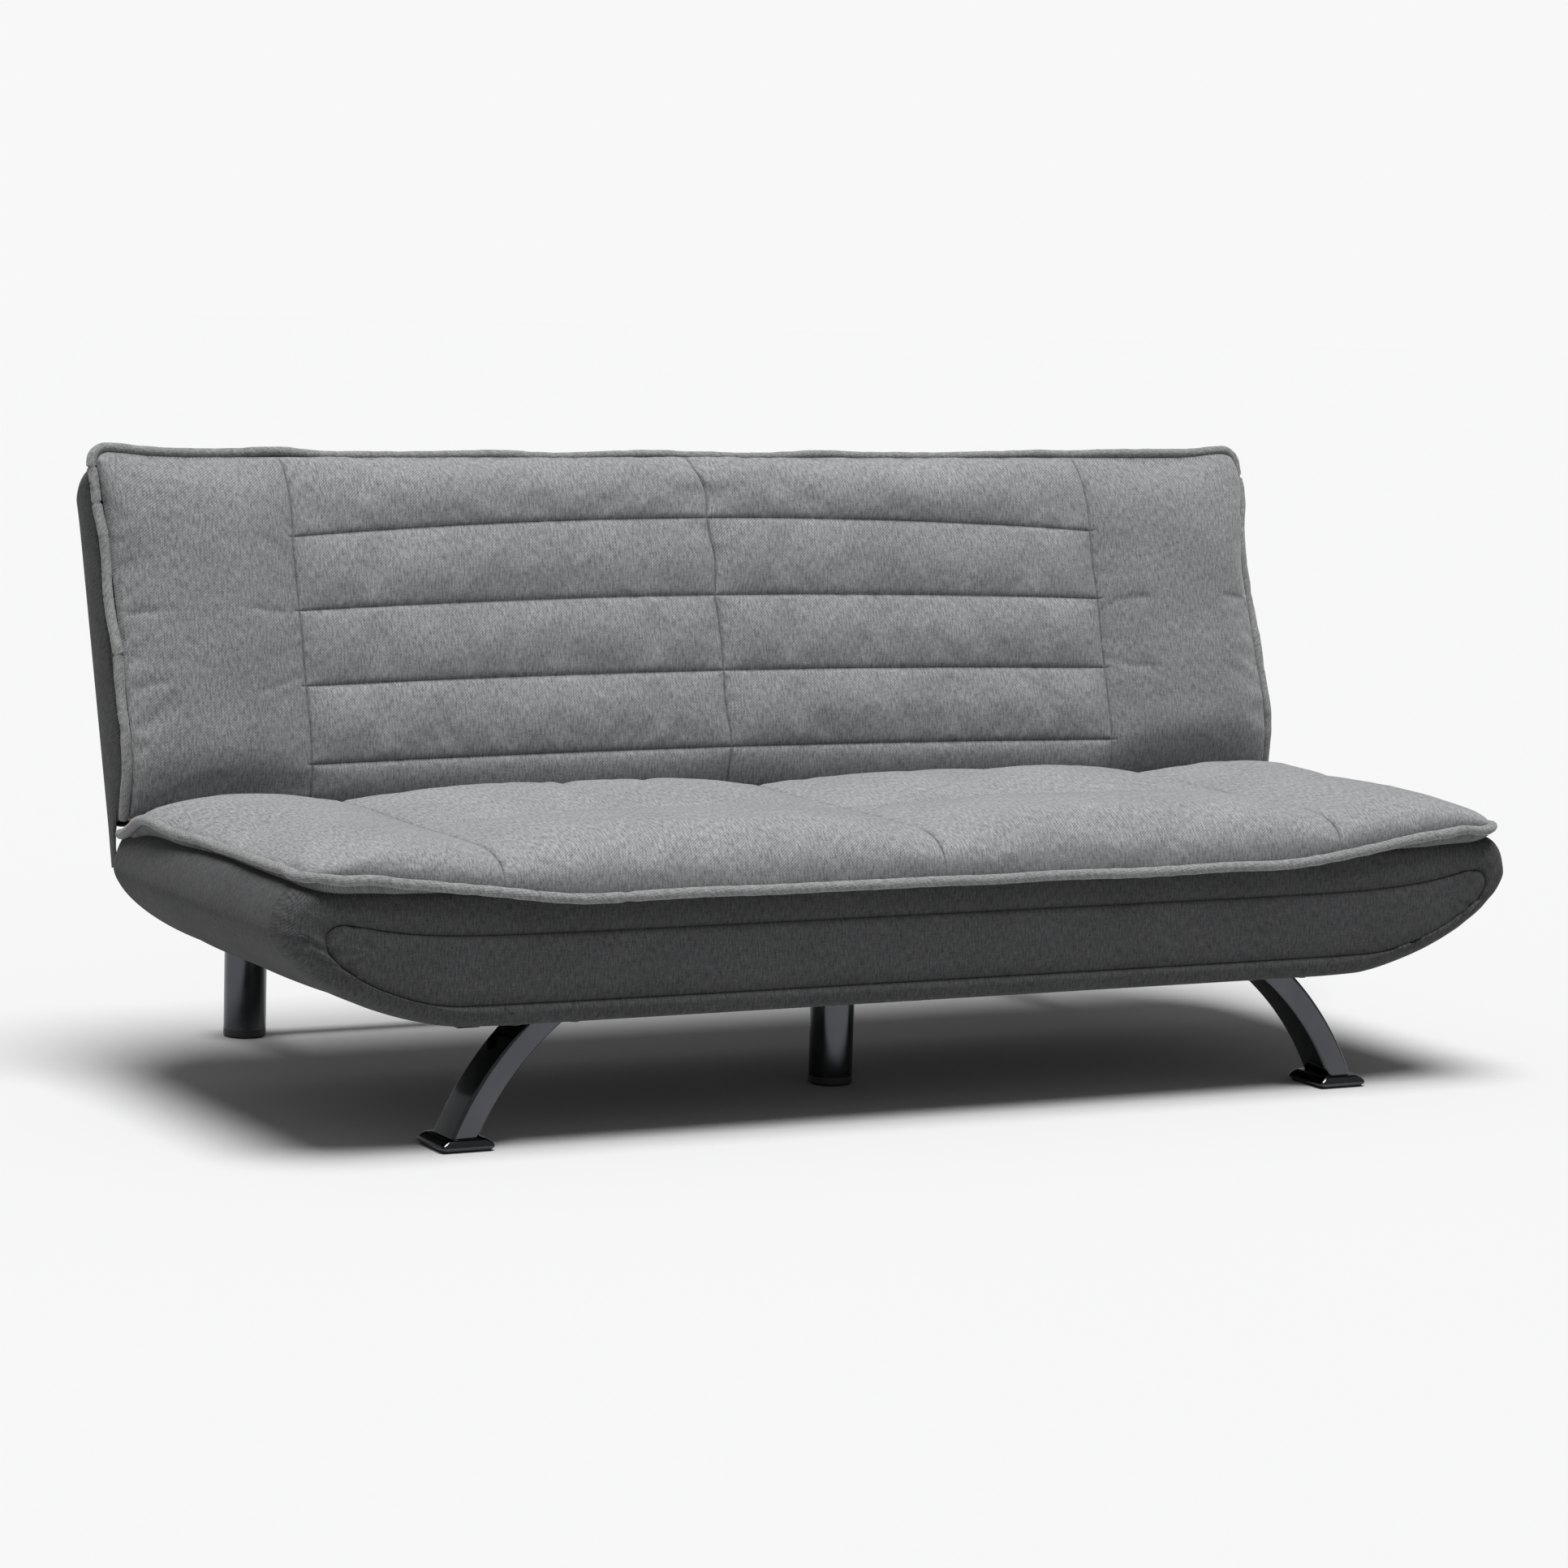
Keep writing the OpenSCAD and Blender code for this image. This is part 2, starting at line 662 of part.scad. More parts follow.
module hinge_back_bolts() {
    v = (frame_v + frame_rear_v) / 2;
    color("silver") for (side = [-1, 1]) in_back(side) for (u = back_bolt_us()) {
        bar_x(back_plate_x - bolt_head_h, back_plate_x, v, u, bolt_head_r);
        bar_x(back_plate_x, back_plate_x + plate_t, v, u, bolt_r - pin_play);
    }
}

// Spring-loaded pawl, shown lifted clear of the ratchet rim
module pawl(side) {
    x_end = back_plate_x + plate_t;
    color("darkslategray") on_side(side) difference() {
        union() {
            bar_x(back_plate_x, x_end, pawl_pin_y, pawl_pin_z, pawl_hub_r);
            bar_x(back_plate_x, x_end, pawl_tip[0], pawl_tip[1], pawl_tip_r);
            along_x(back_plate_x, x_end) polygon(tapered_bar([pawl_pin_y, pawl_pin_z], pawl_tip, 0));
        }
        plate_bore(back_plate_x, pawl_pin_y, pawl_pin_z, pawl_pin_r + pin_play);
    }
}

module pawl_pins() {
    x_end = back_plate_x + plate_t + 7;
    color("silver") for (side = [-1, 1]) on_side(side) {
        bar_x(seat_plate_x, x_end, pawl_pin_y, pawl_pin_z, pawl_pin_r);
        bar_x(x_end, x_end + 2, pawl_pin_y, pawl_pin_z, pawl_hub_r - 2);
    }
}

// Close-wound torsion springs round the pawl pins
module pawl_springs() {
    x0 = back_plate_x + plate_t + 0.5;
    color("gold") for (side = [-1, 1]) on_side(side) difference() {
        union() for (i = [0 : 3])
            translate([x0 + 0.7 + 1.4 * i, pawl_pin_y, pawl_pin_z]) rotate([0, 90, 0])
                rotate_extrude() translate([4.4, 0]) square([1.6 - 0.4 * (i % 2), 1.5], center = true);
        bar_x(x0 - 1, x0 + 9, pawl_pin_y, pawl_pin_z, pawl_pin_r + 0.2);
    }
}

// ---------------------------------------------------------------- backrest

module back_top_rail() {
    color("burlywood") in_back()
        box([-stile_x, frame_v, frame_u1 - rail_u], [stile_x, frame_rear_v, frame_u1]);
}

module back_bottom_rail() {
    reach = back_plate_x - slip;
    color("burlywood") in_back()
        box([-reach, frame_v, frame_u0], [reach, frame_rear_v, frame_u0 + rail_u]);
}

module back_stile(side) {
    color("burlywood") in_back(side)
        box([stile_x, frame_v, frame_u0], [stile_x + stile_w, frame_rear_v, frame_u1]);
}

module back_centre_post() {
    color("burlywood") in_back()
        box([-22, frame_v + wire_t + 6, frame_u0 + rail_u], [22, frame_rear_v, frame_u1 - rail_u]);
}

module back_springs() {
    reach = back_plate_x - spring_half_w - 40;
    length = frame_u1 - frame_u0 - 2 * rail_u;
    color("silver") in_back() for (i = [0 : back_spring_count - 1])
        translate([spring_x(i, back_spring_count, reach), frame_v + wire_t, frame_u0 + rail_u])
            rotate([90, 0, 0]) rotate([0, 0, 90]) wire_spring(length, spring_pitch);
}

module back_spring_clips() {
    reach = back_plate_x - spring_half_w - 40;
    color("dimgray") in_back() for (i = [0 : back_spring_count - 1])
        for (u = [frame_u0 + rail_u, frame_u1 - rail_u - 14])
            translate([spring_x(i, back_spring_count, reach) - 10, frame_v + wire_t, u])
                cube([20, 3, 14]);
}

module back_felt() {
    color("gainsboro") in_back() box([-stile_x - stile_w, deck_v, frame_u0],
                                     [stile_x + stile_w, frame_v, frame_u1]);
}

module back_pad() {
    edge = back_half - 2 * piping_r - slip;
    crown_v = -back_face - back_crown;
    u1 = u_top - 2 * piping_r - slip;
    corner = back_corner_r - piping_r;
    color("darkgray") in_back() intersection() {
        translate([0, deck_v + 1, 0]) rotate([90, 0, 0]) linear_extrude(back_face + back_crown)
            rounded_plan(edge, u1, u_low - 2 * corner, corner);
        along_x(-edge, edge) polygon([
            [deck_v, u_low], [deck_v, u1], [-back_face, u1],
            [crown_v + 8, u1 - 24], [crown_v, u1 - 90], [crown_v, u_low + 140],
            [crown_v + 2, u_low + 70], [crown_v + 18, u_low + 19], [-back_face, u_low]]);
        translate([0, 0, u_low - 1]) linear_extrude(back_h + 2) polygon([
            [-edge, deck_v], [-edge, -back_face], [70 - edge, crown_v + 6],
            [150 - edge, crown_v], [edge - 150, crown_v], [edge - 70, crown_v + 6],
            [edge, -back_face], [edge, deck_v]]);
    }
}

module back_piping() {
    v = -back_face + piping_r;
    color("gray") in_back() translate([0, v, 0]) rotate([90, 0, 0])
        piping_u(back_half - piping_r, u_top - piping_r, u_low + 2, piping_r, back_corner_r);
}

// Side and top borders between the piping and the rear cover
module back_boxing(side) {
    x0 = stile_x + stile_w;
    v0 = -back_face + 2 * piping_r + slip;
    color("dimgray") in_back(side) along_x(x0, back_half) polygon([
        [v0, u_low], [v0, u_shell], [shell_top_v - 6, u_shell],
        [shell_top_v, u_shell - 8], [shell_low_v, u_low]]);
}

module back_boxing_top() {
    x0 = stile_x + stile_w;
    color("dimgray") in_back() along_x(-x0, x0) polygon([
        [deck_v + slip, frame_u1 + slip], [deck_v + slip, u_shell + 14], [frame_rear_v, u_shell],
        [frame_rear_v, frame_u1 + slip]]);
}

module back_rear_cover() {
    x0 = stile_x + stile_w;
    color("dimgray") in_back() along_x(-x0, x0) polygon([
        [frame_rear_v, frame_u0], [frame_rear_v, u_shell], [shell_top_v - 6, u_shell],
        [shell_top_v, u_shell - 8], [shell_low_v, frame_u0]]);
}

// ---------------------------------------------------------------- nodes

front_board();
rear_board();
middle_rib();
joist(-1);  // joist_left
joist(1);  // joist_right
bilge_board(-1);  // bilge_board_left
bilge_board(1);  // bilge_board_right
bottom_panel();
seat_springs();
seat_spring_clips();
seat_felt();
seat_pad();
seat_piping();
front_cover();
rear_cover();
side_cover(-1);  // side_cover_left
side_cover(1);  // side_cover_right
long_rail(-1);  // long_rail_left
long_rail(1);  // long_rail_right
cross_tube(rear_leg_y);  // rear_cross_tube
cross_tube(centre_leg_y);  // centre_cross_tube
front_leg(-1);  // front_leg_left
front_leg(1);  // front_leg_right
front_foot(-1);  // front_foot_left
front_foot(1);  // front_foot_right
front_glides();
leg_plates();
rear_leg(-1);  // rear_leg_left
rear_leg(1);  // rear_leg_right
rear_leg_caps();
centre_leg();
centre_leg_cap();
leg_bolts();
hinge_seat_plate(-1);  // hinge_seat_plate_left
hinge_seat_plate(1);  // hinge_seat_plate_right
hinge_pins();
hinge_washers();
hinge_seat_bolts();
pawl_pins();
pawl_springs();
pawl(-1);  // pawl_left
pawl(1);  // pawl_right
back_top_rail();
back_bottom_rail();
back_stile(-1);  // back_stile_left
back_stile(1);  // back_stile_right
back_centre_post();
back_springs();
back_spring_clips();
back_felt();
back_pad();
back_piping();
back_rear_cover();
back_boxing(-1);  // back_boxing_left
back_boxing(1);  // back_boxing_right
back_boxing_top();
hinge_back_plate(-1);  // hinge_back_plate_left
hinge_back_plate(1);  // hinge_back_plate_right
hinge_back_bolts();
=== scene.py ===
import json
import logging
import math
from collections.abc import Callable
from dataclasses import dataclass, field
from enum import Enum

import bpy
import numpy as np
from mathutils import Matrix, Vector

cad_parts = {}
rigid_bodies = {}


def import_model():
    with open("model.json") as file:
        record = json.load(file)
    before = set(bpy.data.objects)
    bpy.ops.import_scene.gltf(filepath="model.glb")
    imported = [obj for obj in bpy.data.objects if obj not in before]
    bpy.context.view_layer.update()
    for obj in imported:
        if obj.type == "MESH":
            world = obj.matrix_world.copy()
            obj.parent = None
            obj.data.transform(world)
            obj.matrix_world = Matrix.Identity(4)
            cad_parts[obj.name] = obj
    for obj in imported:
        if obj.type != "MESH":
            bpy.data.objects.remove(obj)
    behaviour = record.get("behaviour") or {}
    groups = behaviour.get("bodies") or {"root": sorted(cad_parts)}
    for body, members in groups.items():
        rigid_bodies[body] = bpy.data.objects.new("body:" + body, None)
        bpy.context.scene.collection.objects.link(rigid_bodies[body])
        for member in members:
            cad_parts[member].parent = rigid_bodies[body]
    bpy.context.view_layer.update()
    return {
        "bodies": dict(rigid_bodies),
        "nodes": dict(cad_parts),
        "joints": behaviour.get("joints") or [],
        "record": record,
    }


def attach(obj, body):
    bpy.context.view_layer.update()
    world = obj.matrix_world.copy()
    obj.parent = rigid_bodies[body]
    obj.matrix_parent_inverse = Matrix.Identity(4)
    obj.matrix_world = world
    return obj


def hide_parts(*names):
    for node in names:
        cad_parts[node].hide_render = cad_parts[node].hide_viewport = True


log = logging.getLogger("sofa")
Piece = bpy.types.Object
Field = np.ndarray
MM = 0.001


# ---------------------------------------------------------------- small tools

def pick_only(piece: Piece) -> None:
    """Makes piece the one selected and active object.

    Args:
        piece: the piece to pick.
    """
    bpy.ops.object.select_all(action="DESELECT")
    piece.select_set(True)
    bpy.context.view_layer.objects.active = piece


def smooth_step(x: Field) -> Field:
    """Eases from 0 to 1 as x goes from 0 to 1."""
    t = np.clip(x, 0.0, 1.0)
    return t * t * (3.0 - 2.0 * t)


def ripple(s: Field, seed: int, longest: float, count: int = 6) -> Field:
    """Uneven waviness along a line.

    Args:
        s: places along the line, in metres.
        seed: picks one of the fixed random waves.
        longest: the longest wavelength, in metres.
        count: how many waves are added up.

    Returns:
        Values between about -1 and 1.
    """
    rng = np.random.default_rng(seed)
    total = np.zeros_like(s, dtype=float)
    weight = 0.0
    for _ in range(count):
        length = longest * rng.uniform(0.3, 1.0)
        size = length / longest
        total += size * np.sin(2 * math.pi * s / length + rng.uniform(0, 2 * math.pi))
        weight += size * size
    return total / math.sqrt(max(weight, 1e-9) * 1.6)


def run_along(line: Field) -> Field:
    """How far along a line each of its points lies, in metres."""
    return np.concatenate([[0], np.cumsum(np.linalg.norm(np.diff(line, axis=0), axis=1))])


def square_to(line: Field) -> Field:
    """Unit vectors square to a flat line, pointing to the right of the way that it runs.

    Args:
        line: n x 2 points.

    Returns:
        n x 2 vectors.
    """
    step = np.gradient(line, axis=0)
    norm = np.stack([step[:, 1], -step[:, 0]], axis=1)
    return norm / np.linalg.norm(norm, axis=1, keepdims=True)


def spaced(stops: list[float], coarse: float, fine: float, growth: float = 1.35) -> Field:
    """Grid lines between stops, close together at every stop and wider between.

    Args:
        stops: places that get a line and close spacing, lowest first.
        coarse: the widest spacing.
        fine: the spacing right beside a stop.
        growth: how fast the spacing widens away from a stop.

    Returns:
        The places of all the lines.
    """
    lines = [stops[0]]
    for lo, hi in zip(stops[:-1], stops[1:]):
        half, steps, step = (hi - lo) / 2, [], fine
        while sum(steps) < half:
            steps.append(step)
            step = min(step * growth, coarse)
        scale = half / sum(steps)
        run = [s * scale for s in steps]
        for s in run + run[::-1]:
            lines.append(lines[-1] + s)
        lines[-1] = hi
    return np.array(lines)


def cloth_grid(name: str, points: Field, uv: Field) -> Piece:
    """Adds a grid of cloth and lays it out.

    Args:
        name: the piece's name.
        points: rows x columns x 3 places, in metres.
        uv: rows x columns x 2 places on the flat cloth, in metres.

    Returns:
        The piece, with its weave's UV map.
    """
    rows, cols, _ = points.shape
    bpy.ops.object.select_all(action="DESELECT")
    bpy.ops.mesh.primitive_grid_add(x_subdivisions=cols - 1, y_subdivisions=rows - 1, size=2)
    piece = bpy.context.object
    piece.name = piece.data.name = name
    mesh = piece.data
    mesh.vertices.foreach_set("co", points.reshape(-1))
    layer = mesh.uv_layers.active
    layer.name = "weave"
    corner = np.empty(len(mesh.loops), dtype=np.int64)
    mesh.loops.foreach_get("vertex_index", corner)
    layer.uv.foreach_set("vector", uv.reshape(-1, 2)[corner].reshape(-1).astype(np.float32))
    mesh.update()
    return piece


def places(piece: Piece) -> Field:
    """The piece's vertices as an array of n x 3.

    Args:
        piece: the piece to read.

    Returns:
        Its vertices, in metres.
    """
    co = np.empty(len(piece.data.vertices) * 3)
    piece.data.vertices.foreach_get("co", co)
    return co.reshape(-1, 3)


def put(piece: Piece, co: Field) -> None:
    """Moves the piece's vertices to co."""
    piece.data.vertices.foreach_set("co", co.reshape(-1))
    piece.data.update()


def write_painted_shade(piece: Piece, values: Field) -> None:
    """Stores the painted shade at each vertex: how far the cloth's colour is darkened in seams and along
    borders, where shade falls.
    """
    layer = piece.data.attributes.new("painted_shade", "FLOAT", "POINT")
    layer.data.foreach_set("value", np.clip(values, 0, 1).astype(np.float32).reshape(-1))


def merge_and_face_out(piece: Piece) -> None:
    """Merges doubles and turns every face outwards.

    Args:
        piece: the piece to clean.
    """
    pick_only(piece)
    bpy.ops.object.mode_set(mode="EDIT")
    bpy.ops.mesh.select_all(action="SELECT")
    bpy.ops.mesh.remove_doubles(threshold=2e-5)
    bpy.ops.mesh.normals_make_consistent(inside=False)
    bpy.ops.object.mode_set(mode="OBJECT")


def turn_over(piece: Piece) -> None:
    """Turns every face of a sheet to look the other way.

    Args:
        piece: the sheet.
    """
    pick_only(piece)
    bpy.ops.object.mode_set(mode="EDIT")
    bpy.ops.mesh.select_all(action="SELECT")
    bpy.ops.mesh.flip_normals()
    bpy.ops.object.mode_set(mode="OBJECT")


def apply_modifiers(piece: Piece) -> None:
    """Applies every modifier on the piece, first to last.

    Args:
        piece: the piece to finish.
    """
    pick_only(piece)
    for name in [m.name for m in piece.modifiers]:
        bpy.ops.object.modifier_apply(modifier=name)


def thicken(piece: Piece, amount: float) -> None:
    """Gives a sheet a wall of the given thickness on its inner side.

    Args:
        piece: the sheet.
        amount: the wall's thickness, in metres.
    """
    wall = piece.modifiers.new("wall", "SOLIDIFY")
    wall.thickness = amount
    wall.offset = -1
    wall.use_even_offset = False
    apply_modifiers(piece)


def shade_soft(piece: Piece, angle: float = 55.0) -> None:
    """Smooth shading that keeps edges sharper than the angle, in degrees."""
    pick_only(piece)
    bpy.ops.object.shade_smooth_by_angle(angle=math.radians(angle))


def dress(piece: Piece, finish: "bpy.types.Material") -> None:
    """Gives the whole piece one finish."""
    piece.data.materials.clear()
    piece.data.materials.append(finish)


# ---------------------------------------------------------------- finishes

class Bench:
    """A material in the making: adds nodes and joins them."""

    def __init__(self, name: str) -> None:
        """Starts a material with one Principled shader.

        Args:
            name: the material's name.
        """
        self.material = bpy.data.materials.new(name)
        self.material.use_nodes = True
        self.tree = self.material.node_tree
        self.shader = self.tree.nodes["Principled BSDF"]

    def node(self, kind: str, **settings: object) -> bpy.types.Node:
        """Adds a node. Names that are sockets set sockets, the rest set properties.

        Args:
            kind: the node's kind, without its Shader prefix.
            settings: its sockets and properties.

        Returns:
            The node.
        """
        made = self.tree.nodes.new("ShaderNode" + kind)
        for key, value in settings.items():
            label = key.replace("_", " ").title()
            if label in made.inputs:
                made.inputs[label].default_value = value
            else:
                setattr(made, key, value)
        return made

    def join(self, source: bpy.types.NodeSocket, target: bpy.types.NodeSocket) -> None:
        """Links one socket to another."""
        self.tree.links.new(source, target)

    def space(self, where: str, scale: tuple[float, float, float],
              turn: tuple[float, float, float] = (0, 0, 0)) -> bpy.types.NodeSocket:
        """Texture space: Object or UV coordinates, scaled and turned.

        Args:
            where: Object or UV.
            scale: how many cells lie in a metre, per axis.
            turn: the turn of the pattern, in radians per axis.

        Returns:
            The coordinates.
        """
        source = self.node("TexCoord")
        mapping = self.node("Mapping")
        mapping.inputs["Scale"].default_value = scale
        mapping.inputs["Rotation"].default_value = turn
        self.join(source.outputs[where], mapping.inputs["Vector"])
        return mapping.outputs["Vector"]

    def noise(self, space: bpy.types.NodeSocket, scale: float, detail: float = 3.0,
              roughness: float = 0.55) -> bpy.types.NodeSocket:
        """Cloudy noise between 0 and 1.

        Args:
            space: the coordinates to read.
            scale: cells per unit of them.
            detail: how many finer layers are added.
            roughness: how strong the finer layers are.

        Returns:
            The noise.
        """
        made = self.node("TexNoise", scale=scale, detail=detail, roughness=roughness)
        self.join(space, made.inputs["Vector"])
        return made.outputs["Fac"]

    def ranged(self, value: bpy.types.NodeSocket, lo: float, hi: float,
               to_lo: float = 0.0, to_hi: float = 1.0) -> bpy.types.NodeSocket:
        """Maps lo to hi onto to_lo to to_hi, clamped.

        Args:
            value: the value to map.
            lo: its low end.
            hi: its high end.
            to_lo: what the low end becomes.
            to_hi: what the high end becomes.

        Returns:
            The mapped value.
        """
        made = self.node("MapRange", from_min=lo, from_max=hi, to_min=to_lo, to_max=to_hi)
        self.join(value, made.inputs["Value"])
        return made.outputs["Result"]

    def sum(self, how: str, first: bpy.types.NodeSocket,
            second: "bpy.types.NodeSocket | float") -> bpy.types.NodeSocket:
        """Arithmetic on two values.

        Args:
            how: the operation.
            first: the first value.
            second: the second value, or a number.

        Returns:
            The outcome.
        """
        made = self.node("Math", operation=how)
        self.join(first, made.inputs[0])
        if isinstance(second, (int, float)):
            made.inputs[1].default_value = second
        else:
            self.join(second, made.inputs[1])
        return made.outputs[0]

    def blend(self, factor: bpy.types.NodeSocket, low: tuple[float, float, float],
              high: tuple[float, float, float]) -> bpy.types.NodeSocket:
        """A colour between low and high.

        Args:
            factor: 0 for low and 1 for high.
            low: the low colour.
            high: the high colour.

        Returns:
            The colour.
        """
        made = self.node("Mix", data_type="RGBA")
        made.inputs[6].default_value = (*low, 1)
        made.inputs[7].default_value = (*high, 1)
        self.join(factor, made.inputs[0])
        return made.outputs[2]

    def shade(self, colour: bpy.types.NodeSocket,
              factor: bpy.types.NodeSocket) -> bpy.types.NodeSocket:
        """Colour times a value.

        Args:
            colour: the colour.
            factor: the value that it is multiplied by.

        Returns:
            The shaded colour.
        """
        made = self.node("VectorMath", operation="SCALE")
        self.join(colour, made.inputs[0])
        self.join(factor, made.inputs["Scale"])
        return made.outputs[0]

    def bump(self, height: bpy.types.NodeSocket, strength: float, distance: float) -> None:
        """Relief on the surface from a height between 0 and 1.

        Args:
            height: the height.
            strength: how strongly it shows, from 0 to 1.
            distance: the depth that 1 stands for, in metres.
        """
        made = self.node("Bump", strength=strength, distance=distance)
        self.join(height, made.inputs["Height"])
        self.join(made.outputs["Normal"], self.shader.inputs["Normal"])

    def surface(self, **values: float) -> None:
        """Sets the shader's own sockets."""
        for key, value in values.items():
            self.shader.inputs[key.replace("_", " ").title().replace("Ior", "IOR")].default_value = value


@dataclass(frozen=True)
class HeatherTwill:
    """Upholstery cloth: a diagonal weave of mixed light and dark yarns."""

    name: str
    dark: tuple[float, float, float]
    light: tuple[float, float, float]
    pitch: float = 2.2 * MM
    relief: float = 0.32
    sheen: float = 0.18

    def make(self) -> bpy.types.Material:
        """Builds the cloth's material.

        Returns:
            The material.
        """
        b = Bench(self.name)
        fleck = b.noise(b.space("UV", (900, 420, 1)), 1.0, 2.0, 0.6)
        streak = b.noise(b.space("UV", (400, 85, 1), (0, 0, math.radians(6))), 1.0, 3.0, 0.65)
        weft = b.noise(b.space("UV", (75, 460, 1)), 1.0, 3.0, 0.6)
        cloud = b.noise(b.space("UV", (9, 9, 1)), 1.0, 3.0, 0.5)
        wave = b.node("TexWave", wave_type="BANDS", bands_direction="X", scale=0.314 / self.pitch,
                      distortion=0.9, detail=2.0, detail_scale=2.5)
        b.join(b.space("UV", (1, 1, 1), (0, 0, math.radians(52))), wave.inputs["Vector"])
        twill = wave.outputs["Fac"]
        yarn = b.sum("ADD", b.ranged(fleck, 0.28, 0.72, 0, 0.26), b.ranged(streak, 0.34, 0.66, 0, 0.54))
        yarn = b.sum("ADD", yarn, b.ranged(weft, 0.3, 0.7, 0, 0.22))
        colour = b.blend(yarn, self.dark, self.light)
        rows = b.ranged(twill, 0, 1, 0.80, 1.17)
        patch = b.ranged(cloud, 0.3, 0.7, 0.93, 1.07)
        # Painted shade: the colour is darkened where the painted_shade attribute is high, in seams and along
        # borders where shade falls.
        painted_shade = b.node("Attribute", attribute_name="painted_shade")
        depth = b.ranged(painted_shade.outputs["Fac"], 0, 1, 1.0, 0.45)
        tone = b.sum("MULTIPLY", b.sum("MULTIPLY", rows, patch), depth)
        b.join(b.shade(colour, tone), b.shader.inputs["Base Color"])
        b.join(b.ranged(streak, 0.3, 0.7, 0.86, 0.96), b.shader.inputs["Roughness"])
        b.bump(b.sum("ADD", b.sum("MULTIPLY", twill, 0.6), b.sum("MULTIPLY", fleck, 0.4)),
               self.relief, 0.35 * MM)
        b.surface(sheen_weight=self.sheen, sheen_roughness=0.5, specular_ior_level=0.25)
        return b.material


@dataclass(frozen=True)
class Metal:
    """Bare, plated or chromed metal."""

    name: str
    colour: tuple[float, float, float]
    roughness: float
    smudge: float = 0.06
    brushed: float = 0.0
    coat: float = 0.0

    def make(self) -> bpy.types.Material:
        """Builds the metal's material.

        Returns:
            The material.
        """
        b = Bench(self.name)
        wipe = b.noise(b.space("Object", (14, 14, 14)), 1.0, 4.0)
        grain = b.noise(b.space("Object", (40, 900, 40)), 1.0, 2.0)
        dull = tuple(c * 0.82 for c in self.colour)
        b.join(b.blend(b.ranged(wipe, 0.35, 0.65), dull, self.colour), b.shader.inputs["Base Color"])
        glossy = max(self.roughness - self.smudge, 0.03)
        rough = b.ranged(wipe, 0.3, 0.7, glossy, self.roughness + self.smudge)
        b.join(rough, b.shader.inputs["Roughness"])
        b.surface(metallic=1.0)
        if self.coat:
            b.surface(coat_weight=self.coat, coat_roughness=0.06)
        b.bump(grain, 0.05 + self.brushed, 0.1 * MM)
        return b.material


@dataclass(frozen=True)
class Wood:
    """Timber, plywood or hardboard, with its grain along one axis."""

    name: str
    dark: tuple[float, float, float]
    light: tuple[float, float, float]
    along: tuple[float, float, float] = (3.0, 60.0, 60.0)
    roughness: float = 0.6

    def make(self) -> bpy.types.Material:
        """Builds the wood's material.

        Returns:
            The material.
        """
        b = Bench(self.name)
        grain = b.noise(b.space("Object", self.along), 1.0, 5.0, 0.65)
        pore = b.noise(b.space("Object", tuple(9 * a for a in self.along)), 1.0, 2.0)
        tone = b.sum("ADD", b.ranged(grain, 0.3, 0.7, 0, 0.75), b.ranged(pore, 0.3, 0.7, 0, 0.25))
        b.join(b.blend(tone, self.dark, self.light), b.shader.inputs["Base Color"])
        b.join(b.ranged(pore, 0.3, 0.7, self.roughness - 0.08, self.roughness + 0.1),
               b.shader.inputs["Roughness"])
        b.bump(tone, 0.3, 0.3 * MM)
        return b.material


@dataclass(frozen=True)
class Fibre:
    """Felt or non-woven dust cloth: short fibres pressed together."""

    name: str
    dark: tuple[float, float, float]
    light: tuple[float, float, float]
    size: float = 420.0

    def make(self) -> bpy.types.Material:
        """Builds the fibre's material.

        Returns:
            The material.
        """
        b = Bench(self.name)
        fibre = b.noise(b.space("Object", (self.size, self.size * 0.6, self.size)), 1.0, 4.0, 0.7)
        patch = b.noise(b.space("Object", (12, 12, 12)), 1.0, 3.0)
        tone = b.sum("ADD", b.ranged(fibre, 0.3, 0.7, 0, 0.7), b.ranged(patch, 0.3, 0.7, 0, 0.3))
        b.join(b.blend(tone, self.dark, self.light), b.shader.inputs["Base Color"])
        b.join(b.ranged(fibre, 0.3, 0.7, 0.88, 0.98), b.shader.inputs["Roughness"])
        b.bump(fibre, 0.5, 0.4 * MM)
        b.surface(sheen_weight=0.15, sheen_roughness=0.6)
        return b.material


@dataclass(frozen=True)
class Moulded:
    """Painted steel, moulded plastic or rubber."""

    name: str
    dark: tuple[float, float, float]
    light: tuple[float, float, float]
    roughness: float
    pebble: float = 0.15

    def make(self) -> bpy.types.Material:
        """Builds the surface's material.

        Returns:
            The material.
        """
        b = Bench(self.name)
        peel = b.noise(b.space("Object", (260, 260, 260)), 1.0, 2.0)
        wear = b.noise(b.space("Object", (18, 18, 18)), 1.0, 4.0)
        b.join(b.blend(b.ranged(wear, 0.35, 0.7), self.dark, self.light), b.shader.inputs["Base Color"])
        b.join(b.ranged(wear, 0.3, 0.7, self.roughness - 0.06, self.roughness + 0.08),
               b.shader.inputs["Roughness"])
        b.bump(peel, self.pebble, 0.2 * MM)
        return b.material


class Cloth(Enum):
    """The three cloths of the cover."""

    PAD = HeatherTwill("pad_twill", (0.062, 0.063, 0.066), (0.335, 0.34, 0.347), 2.9 * MM)
    PIPING = HeatherTwill("piping_twill", (0.060, 0.061, 0.063), (0.300, 0.302, 0.302), 2.6 * MM, 0.4)
    HULL = HeatherTwill("hull_twill", (0.010, 0.0102, 0.0112), (0.078, 0.079, 0.081), 2.9 * MM, 0.3, 0.06)


